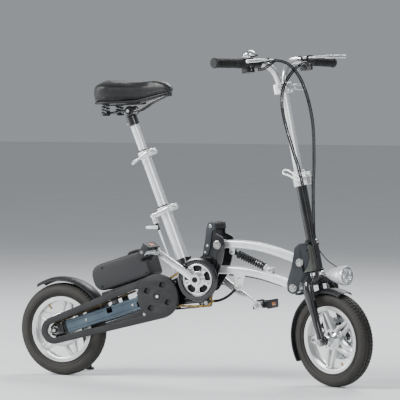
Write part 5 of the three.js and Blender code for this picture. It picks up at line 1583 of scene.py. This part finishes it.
lamp.append(plate([(48, 178, 2), (86, 178, 4), (92, 196, 6), (84, 198, 4), (78, 187, 4), (48, 187, 2)],
                  -9, 9, ENAMEL, bevel=1.2, at=STEER))
lamp.append(tube([(96, 0, 218), (84, -6, 232), (66, -14, 252), (50, -24, 286), (44, -34, 322)], 1.7,
                 CABLE, STEER, 6))
piece("lamp_shell", "steering", "satin", lamp, "headlight_shell")
cover = [lathe([(0, -1.4), (12, -1.2), (22, -0.2), (29.2, 1.6), (29.2, 3), (22, 1.6), (12, 0.6),
                (0, 0.4)], LAMP, lamp_back, LENS, STEER, 64)]
piece("lamp_cover", "steering", "lens", cover, "headlight_lens")

# %% [markdown]
# ## Handlebar column
# A black lower tube carries the alloy collar; the polished upper tube slides in it and holds two bent
# bars in a head clamp. The levers are closed loops of flat alloy, as a thumb finds them.

# %% Lower tube, collar and loop lever
CROWN_TOP, COLLAR_Z, CLAMP_Z, THUMB_X, CLAMP_X = 209.4, 527, 829, 32, 27
lower = [rod((0, 0, CROWN_TOP), (0, 0, 330), 15, OXIDE, STEER),
         ring((0, 0, 318.6), (0, 0, 515), 18, 14.4, ENAMEL, STEER),
         lathe([(15, 318.6), (22, 318.6), (24, 320), (24, 323), (20, 327), (18, 330), (15, 330),
                (15, 318.6)], (0, 0, 0), (0, 0, 1), ENAMEL, STEER),
         lathe([(0, CROWN_TOP), (22.6, CROWN_TOP), (24, 211), (24, 220), (22.6, 221.6), (0, 221.6)],
               (0, 0, 0), (0, 0, 1), CHROME, STEER)]
piece("column_tube_lower", "steering", "black", lower, "column_lower")
clamp = collar(COLLAR_Z, 23, 18.4, 44, BLASTED, STEER)
clamp.append(lathe([(14.4, 538), (20.4, 538), (21, 539), (21, 555), (20, 556), (14.4, 556), (14.4, 538)],
                   (0, 0, 0), (0, 0, 1), BLASTED, STEER))
clamp.append(lathe([(14.4, 516), (20, 516), (20, 538), (14.4, 538), (14.4, 516)], (0, 0, 0), (0, 0, 1),
                   BLASTED, STEER))
piece("column_collar", "steering", "satin", clamp, "column_clamp")


def loop_lever(x, z, points, at):
    """Skewer, nut and cam with a closed loop for the thumb, through route points in the column's frame."""
    return [rod((x, -30, z), (x, 24, z), 3.4, ZINC, at, seg=16),
            lathe([(0, 0), (8, 0), (8, 4), (6.6, 8), (0, 8.6)], (x, 15.4, z), (0, 1, 0), ZINC, at, 24,
                  (1, 2)), rod((x, -34, z), (x, -15.4, z), 8, BLASTED, at),
            tube(points, 3.1, BLASTED, at, 6)]


thumb = [(THUMB_X, -28, 520), (20, -33, 523), (0, -35.5, 537), (-18, -36, 548), (-30, -36, 552),
         (-36, -35, 559), (-30, -34, 566), (-16, -34, 564), (0, -35, 554), (20, -33, 538),
         (THUMB_X, -28, 534)]
piece("column_cam_lever", "column_lever", "polished", loop_lever(THUMB_X, COLLAR_Z, thumb, STEER),
      "column_lever")

upper = [rod((0, 0, 395), (0, 0, 838), 14, SATIN, STEER, edge=1)]
sockets = [circle((0, s * 15), 12) for s in (-1, 1)]
upper.append(flat([(-18, -31, 8), (18, -31, 8), (18, 31, 8), (-18, 31, 8)], 812, 846, POLISHED, sockets,
                  3, STEER))
upper += [block((24, s * 9, CLAMP_Z), (22, 6.6, 26), POLISHED, 0, 2, STEER) for s in (-1, 1)]
piece("column_tube_upper", "handlebar", "polished", upper, "column_upper")
top_lever = [rod((CLAMP_X, -20, CLAMP_Z), (CLAMP_X, 24, CLAMP_Z), 3.4, ZINC, STEER, seg=16),
             lathe([(0, 0), (8, 0), (8, 5), (6.6, 7), (0, 7)], (CLAMP_X, -13, CLAMP_Z), (0, -1, 0), ZINC,
                   STEER, 24, (1, 2)), rod((CLAMP_X, 13, CLAMP_Z), (CLAMP_X, 25, CLAMP_Z), 8, BLASTED,
                                           STEER),
             tube([(28, 20, 822), (31, 32, 819), (35, 48, 816), (38, 60, 817), (39, 65, 823),
                   (37, 61, 830), (33, 48, 832), (30, 34, 834), (28, 20, 835)], 3.1, BLASTED, STEER, 6)]
piece("head_cam_lever", "bar_lever", "polished", top_lever, "bar_lever")

# %% [markdown]
# Each bar half is a bent tube with a grip, a switch box and a brake lever. A frame that runs along the
# grip lets both hands share one drawing.

# %% Bars: a frame along each grip
BEND, END, BAR_Z, RISE = 84, 285, 917, 0.09


def bar_point(s, y, lift=0, fore=0):
    """On the bar, y from the middle of the bike. The bar is a little out of level, right end high."""
    return (-4 - (y - BEND) * 0.06 + fore, s * y, BAR_Z - s * (y - BEND) * RISE + lift)


def frame_at(start, along):
    """x runs along, y stays level, z up."""
    x = Vector(along).normalized()
    y = Vector((0, 0, 1)).cross(x).normalized()
    place = Matrix((x, y, x.cross(y))).transposed().to_4x4()
    place.translation = Vector(start)
    return STEER @ place


def bar_frame(s):
    """Frame of one bar half: x runs out along the grip from the bend."""
    return frame_at(bar_point(s, BEND), Vector(bar_point(s, END)) - Vector(bar_point(s, BEND)))


def along_x(profile, material, at, seg=48):
    """Turned round the bar: the profile is (radius, distance from the middle of the bike)."""
    return lathe([(r, x - BEND) for r, x in profile], (0, 0, 0), (1, 0, 0), material, at, seg)


def ribs(at, first, last, count, radius, material):
    """Ring ribs on a grip, set by the route tree."""
    route = route_curve([(first - BEND, 0, 0), (last - BEND, 0, 0)])
    rib = lathe([(radius - 1, -1.1), (radius, -0.6), (radius, 0.6), (radius - 1, 1.1),
                 (radius - 1, -1.1)], (0, 0, 0), (1, 0, 0), material, seg=40)
    return grow(FOLLOW, {"Path": route, "Item": raw(rib), "Count": count}, material, at)


# Where each hand's controls sit: band from and to, lever pivot, switch box, lever tip and its reach forward.
HANDS = ((-1, "right", 88, 154, 88, 136, 208, 70, 184.6), (1, "left", 112, 164, 124, 146, 256, 78, 165))
for s, hand, band0, band1, pivot_y, box_y, tip_y, reach, inner in HANDS:
    at = bar_frame(s)
    fore = -s
    bend = tube([(0, s * 15, 825), (0, s * 15, 850), (-1, s * 27, 886), (-3, s * 54, 910),
                 bar_point(s, BEND), bar_point(s, BEND + 20)], 11, POLISHED, STEER, 8, 6)
    piece(f"bar_{hand}_tube", "handlebar", "polished",
          [bend, along_x([(0, BEND + 4), (11, BEND + 4), (11, END - 1), (10, END), (0, END)], POLISHED,
                         at)], f"bar_{hand}")
    grip = [along_x([(11.3, inner), (14.6, inner), (15.2, inner + 1), (15.4, inner + 5),
                     (14.6, inner + 8), (14.4, END - 9), (15.4, END - 6), (17, END - 4), (17, END + 1),
                     (15.6, END + 3), (0, END + 3), (0, END), (11.3, END), (11.3, inner)], RUBBER, at)]
    grip.append(ribs(at, inner + 12, END - 12, round((END - inner) / 3.7), 15.4, RUBBER))
    piece(f"grip_{hand}_rubber", "handlebar", "rubber", grip, f"grip_{hand}")
    control = [along_x([(11.3, band0), (15, band0), (16, band0 + 1), (16, band1 - 1), (15, band1),
                        (11.3, band1), (11.3, band0)], MOULDED, at)]
    control.append(block((box_y - BEND, fore * -4, -17), (34, 30, 27), MOULDED, 0, 5, at, 3))
    control += [block((box_y + side - BEND, fore * -19.4, -16), (7, 4, 6), m, 0, 1.2, at) for side,
                m in ((-7, AMBER), (7, WHITE))]
    hinge = frame_at(bar_point(s, pivot_y, 4, 36), (0, s, -RISE if s > 0 else 0))
    control.append(block((0, fore * -13, 5.2), (24, 36, 3.6), OXIDE, 0, 1.5, hinge))
    control.append(block((0, fore * -13, -5.2), (24, 36, 3.6), OXIDE, 0, 1.5, hinge))
    control.append(block((-9, fore * -14, 0), (8, 26, 13), OXIDE, 0, 2.5, hinge))
    control.append(rod((-14, fore * -4, 0), (-30, fore * -2, -1), 4, ZINC, hinge, seg=20))
    control.append(bolts([((box_y - BEND, fore * 11, z), (0, fore, 0), 0.7) for z in (-12, -22)], ZINC, at))
    piece(f"control_{hand}_set", "handlebar", "plastic", control, f"control_{hand}")
    lever = [lathe([(0, -6), (3, -6), (3, 6), (0, 6)], (0, 0, 0), (0, 0, 1), ZINC, hinge, 20),
             lathe([(3, -3), (7, -3), (7, 3), (3, 3), (3, -3)], (0, 0, 0), (0, 0, 1), SATIN, hinge, 24)]
    length = tip_y - pivot_y
    out = reach - 36 - 0.06 * length
    blade_line = [(0, 0), (12, 8.5), (24, 13.6)] + [(24 + (length - 24) * t,
                                                     13.6 + (out - 13.6) * t + 3 * math.sin(math.pi * t))
                                                    for t in (0.25, 0.5, 0.8, 1)]
    half = [5, 6.6, 6.2, 5.6, 5.2, 5.2, 5.6]
    inside, outside = [], []
    for i, (x, y) in enumerate(blade_line):
        a = Vector(blade_line[max(i - 1, 0)])
        b = Vector(blade_line[min(i + 1, len(blade_line) - 1)])
        n = Vector((-(b - a).y, (b - a).x)).normalized() * half[i]
        inside.append((x + n.x, fore * (y + n.y), 4))
        outside.append((x - n.x, fore * (y - n.y), 4))
    lever.append(flat(inside + outside[::-1], -3, 3, SATIN, bevel=1.6, at=hinge))
    lever.append(flat(inside[3:] + outside[3:][::-1], -5, 5, SATIN, bevel=2.2, at=hinge))
    lever.append(lathe([(0, -6), (3, -5.4), (5.6, -3), (6.5, 0), (5.6, 3), (3, 5.4), (0, 6)],
                       (length, fore * out, 0), (1, 0, 0), SATIN, hinge, 24))
    piece(f"brake_{hand}_lever", f"brake_lever_{hand}", "polished", lever, f"brake_lever_{hand}")

at = bar_frame(-1)
twist = [along_x([(12.2, 155.3), (15.8, 155.3), (16.8, 156.3), (16.8, 160), (15.6, 162), (15.2, 164),
                  (15.2, 180), (16.4, 181), (16.4, 183), (15.8, 183.8), (12.2, 183.8), (12.2, 155.3)],
                 RUBBER, at), ribs(at, 165, 179, 6, 16.1, RUBBER)]
piece("throttle_twist_grip", "throttle", "rubber", twist, "throttle_grip")

# %% [markdown]
# The dome is spun sheet, so a lathe profile is how it is really made.

# %% Bell: a spun dome with a thumb striker, on the switch housing
BELL = 128 - BEND
saddle_arc = [(*polar((0, 0), 19.5, a), 0) for a in range(0, 181, 10)] + [(*polar((0, 0), 16.4, a), 0)
                                                                          for a in range(180, -1, -10)]
dome = [plate(saddle_arc, -7, 7, MOULDED, bevel=0.6,
              at=at @ Matrix.Translation((BELL, 0, 0)) @ Matrix.Rotation(math.pi / 2, 4, "Z"))]
dome.append(lathe([(0, 18.4), (6, 18.4), (6, 25), (21, 25), (22, 26), (22.4, 29), (21.6, 33), (19, 37),
                   (14.4, 40.4), (8, 42.2), (0, 42.6)], (BELL, 0, 0), (0, 0, 1), CHROME, at, 64))
dome.append(lathe([(0, 42), (3, 42), (3, 43.6), (2, 44.4), (0, 44.4)], (BELL, 0, 0), (0, 0, 1), ZINC, at, 20))
dome.append(tube([(BELL, 8, 21), (BELL - 4, 20, 21), (BELL - 10, 29, 23)], 2.4, OXIDE, at, 5,
                 radii=[1, 1, 1.5]))
piece("bell_dome", "handlebar", "polished", dome, "bell")

# %% [markdown]
# ## Control cables
# Two runs leave the controls, arch over the bar and come down in front of the column to the crown. Each run
# is a brake cable and a wire side by side. The column slides, but the runs are joined into one mesh that
# stays where it is drawn and rides on neither body.

# %% Cable pairs
RIGHT_RUN = [(10, -114, 897), (30, -104, 897), (46, -88, 908), (52, -59, 916), (54, -3, 893),
             (52, 42, 827), (52, 54, 710), (50, 28, 580), (46, 2, 483), (42, -33, 322), (38, -33, 250),
             (22, -30, 207)]
LEFT_RUN = [(17, 124, 884), (34, 104, 890), (46, 72, 900), (56, 8, 880), (56, -53, 834), (54, -76, 786),
            (52, -79, 721), (50, -63, 621), (48, -49, 554), (44, -38, 454), (42, -36, 356), (38, -34, 262)]
SPREAD = Vector((-0.695, 0.719, 0))  # level; the two strands part across it
strands = []
for run in (RIGHT_RUN, LEFT_RUN):
    line = smooth_line(run, 8)
    courses = [[], []]
    for i, p in enumerate(line):
        t = (line[min(i + 1, len(line) - 1)] - line[max(i - 1, 0)]).normalized()
        across = t.cross(SPREAD).normalized() * 2.9
        courses[0].append(p - across)
        courses[1].append(p + across)
    strands += [tube(courses[0], 2.8, CABLE, STEER, 0, 3), tube(courses[1], 2.4, CABLE, STEER, 0, 3)]
    for k in (20, 44, 66):
        t = (line[k + 1] - line[k - 1]).normalized()
        strands.append(rod(line[k] - t * 3, line[k] + t * 3, 5.6, MOULDED, STEER, edge=0.8, seg=20))
cables = joined(strands)
cables.name = cables.data.name = "control_cables"
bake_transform(cables)
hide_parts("cables")
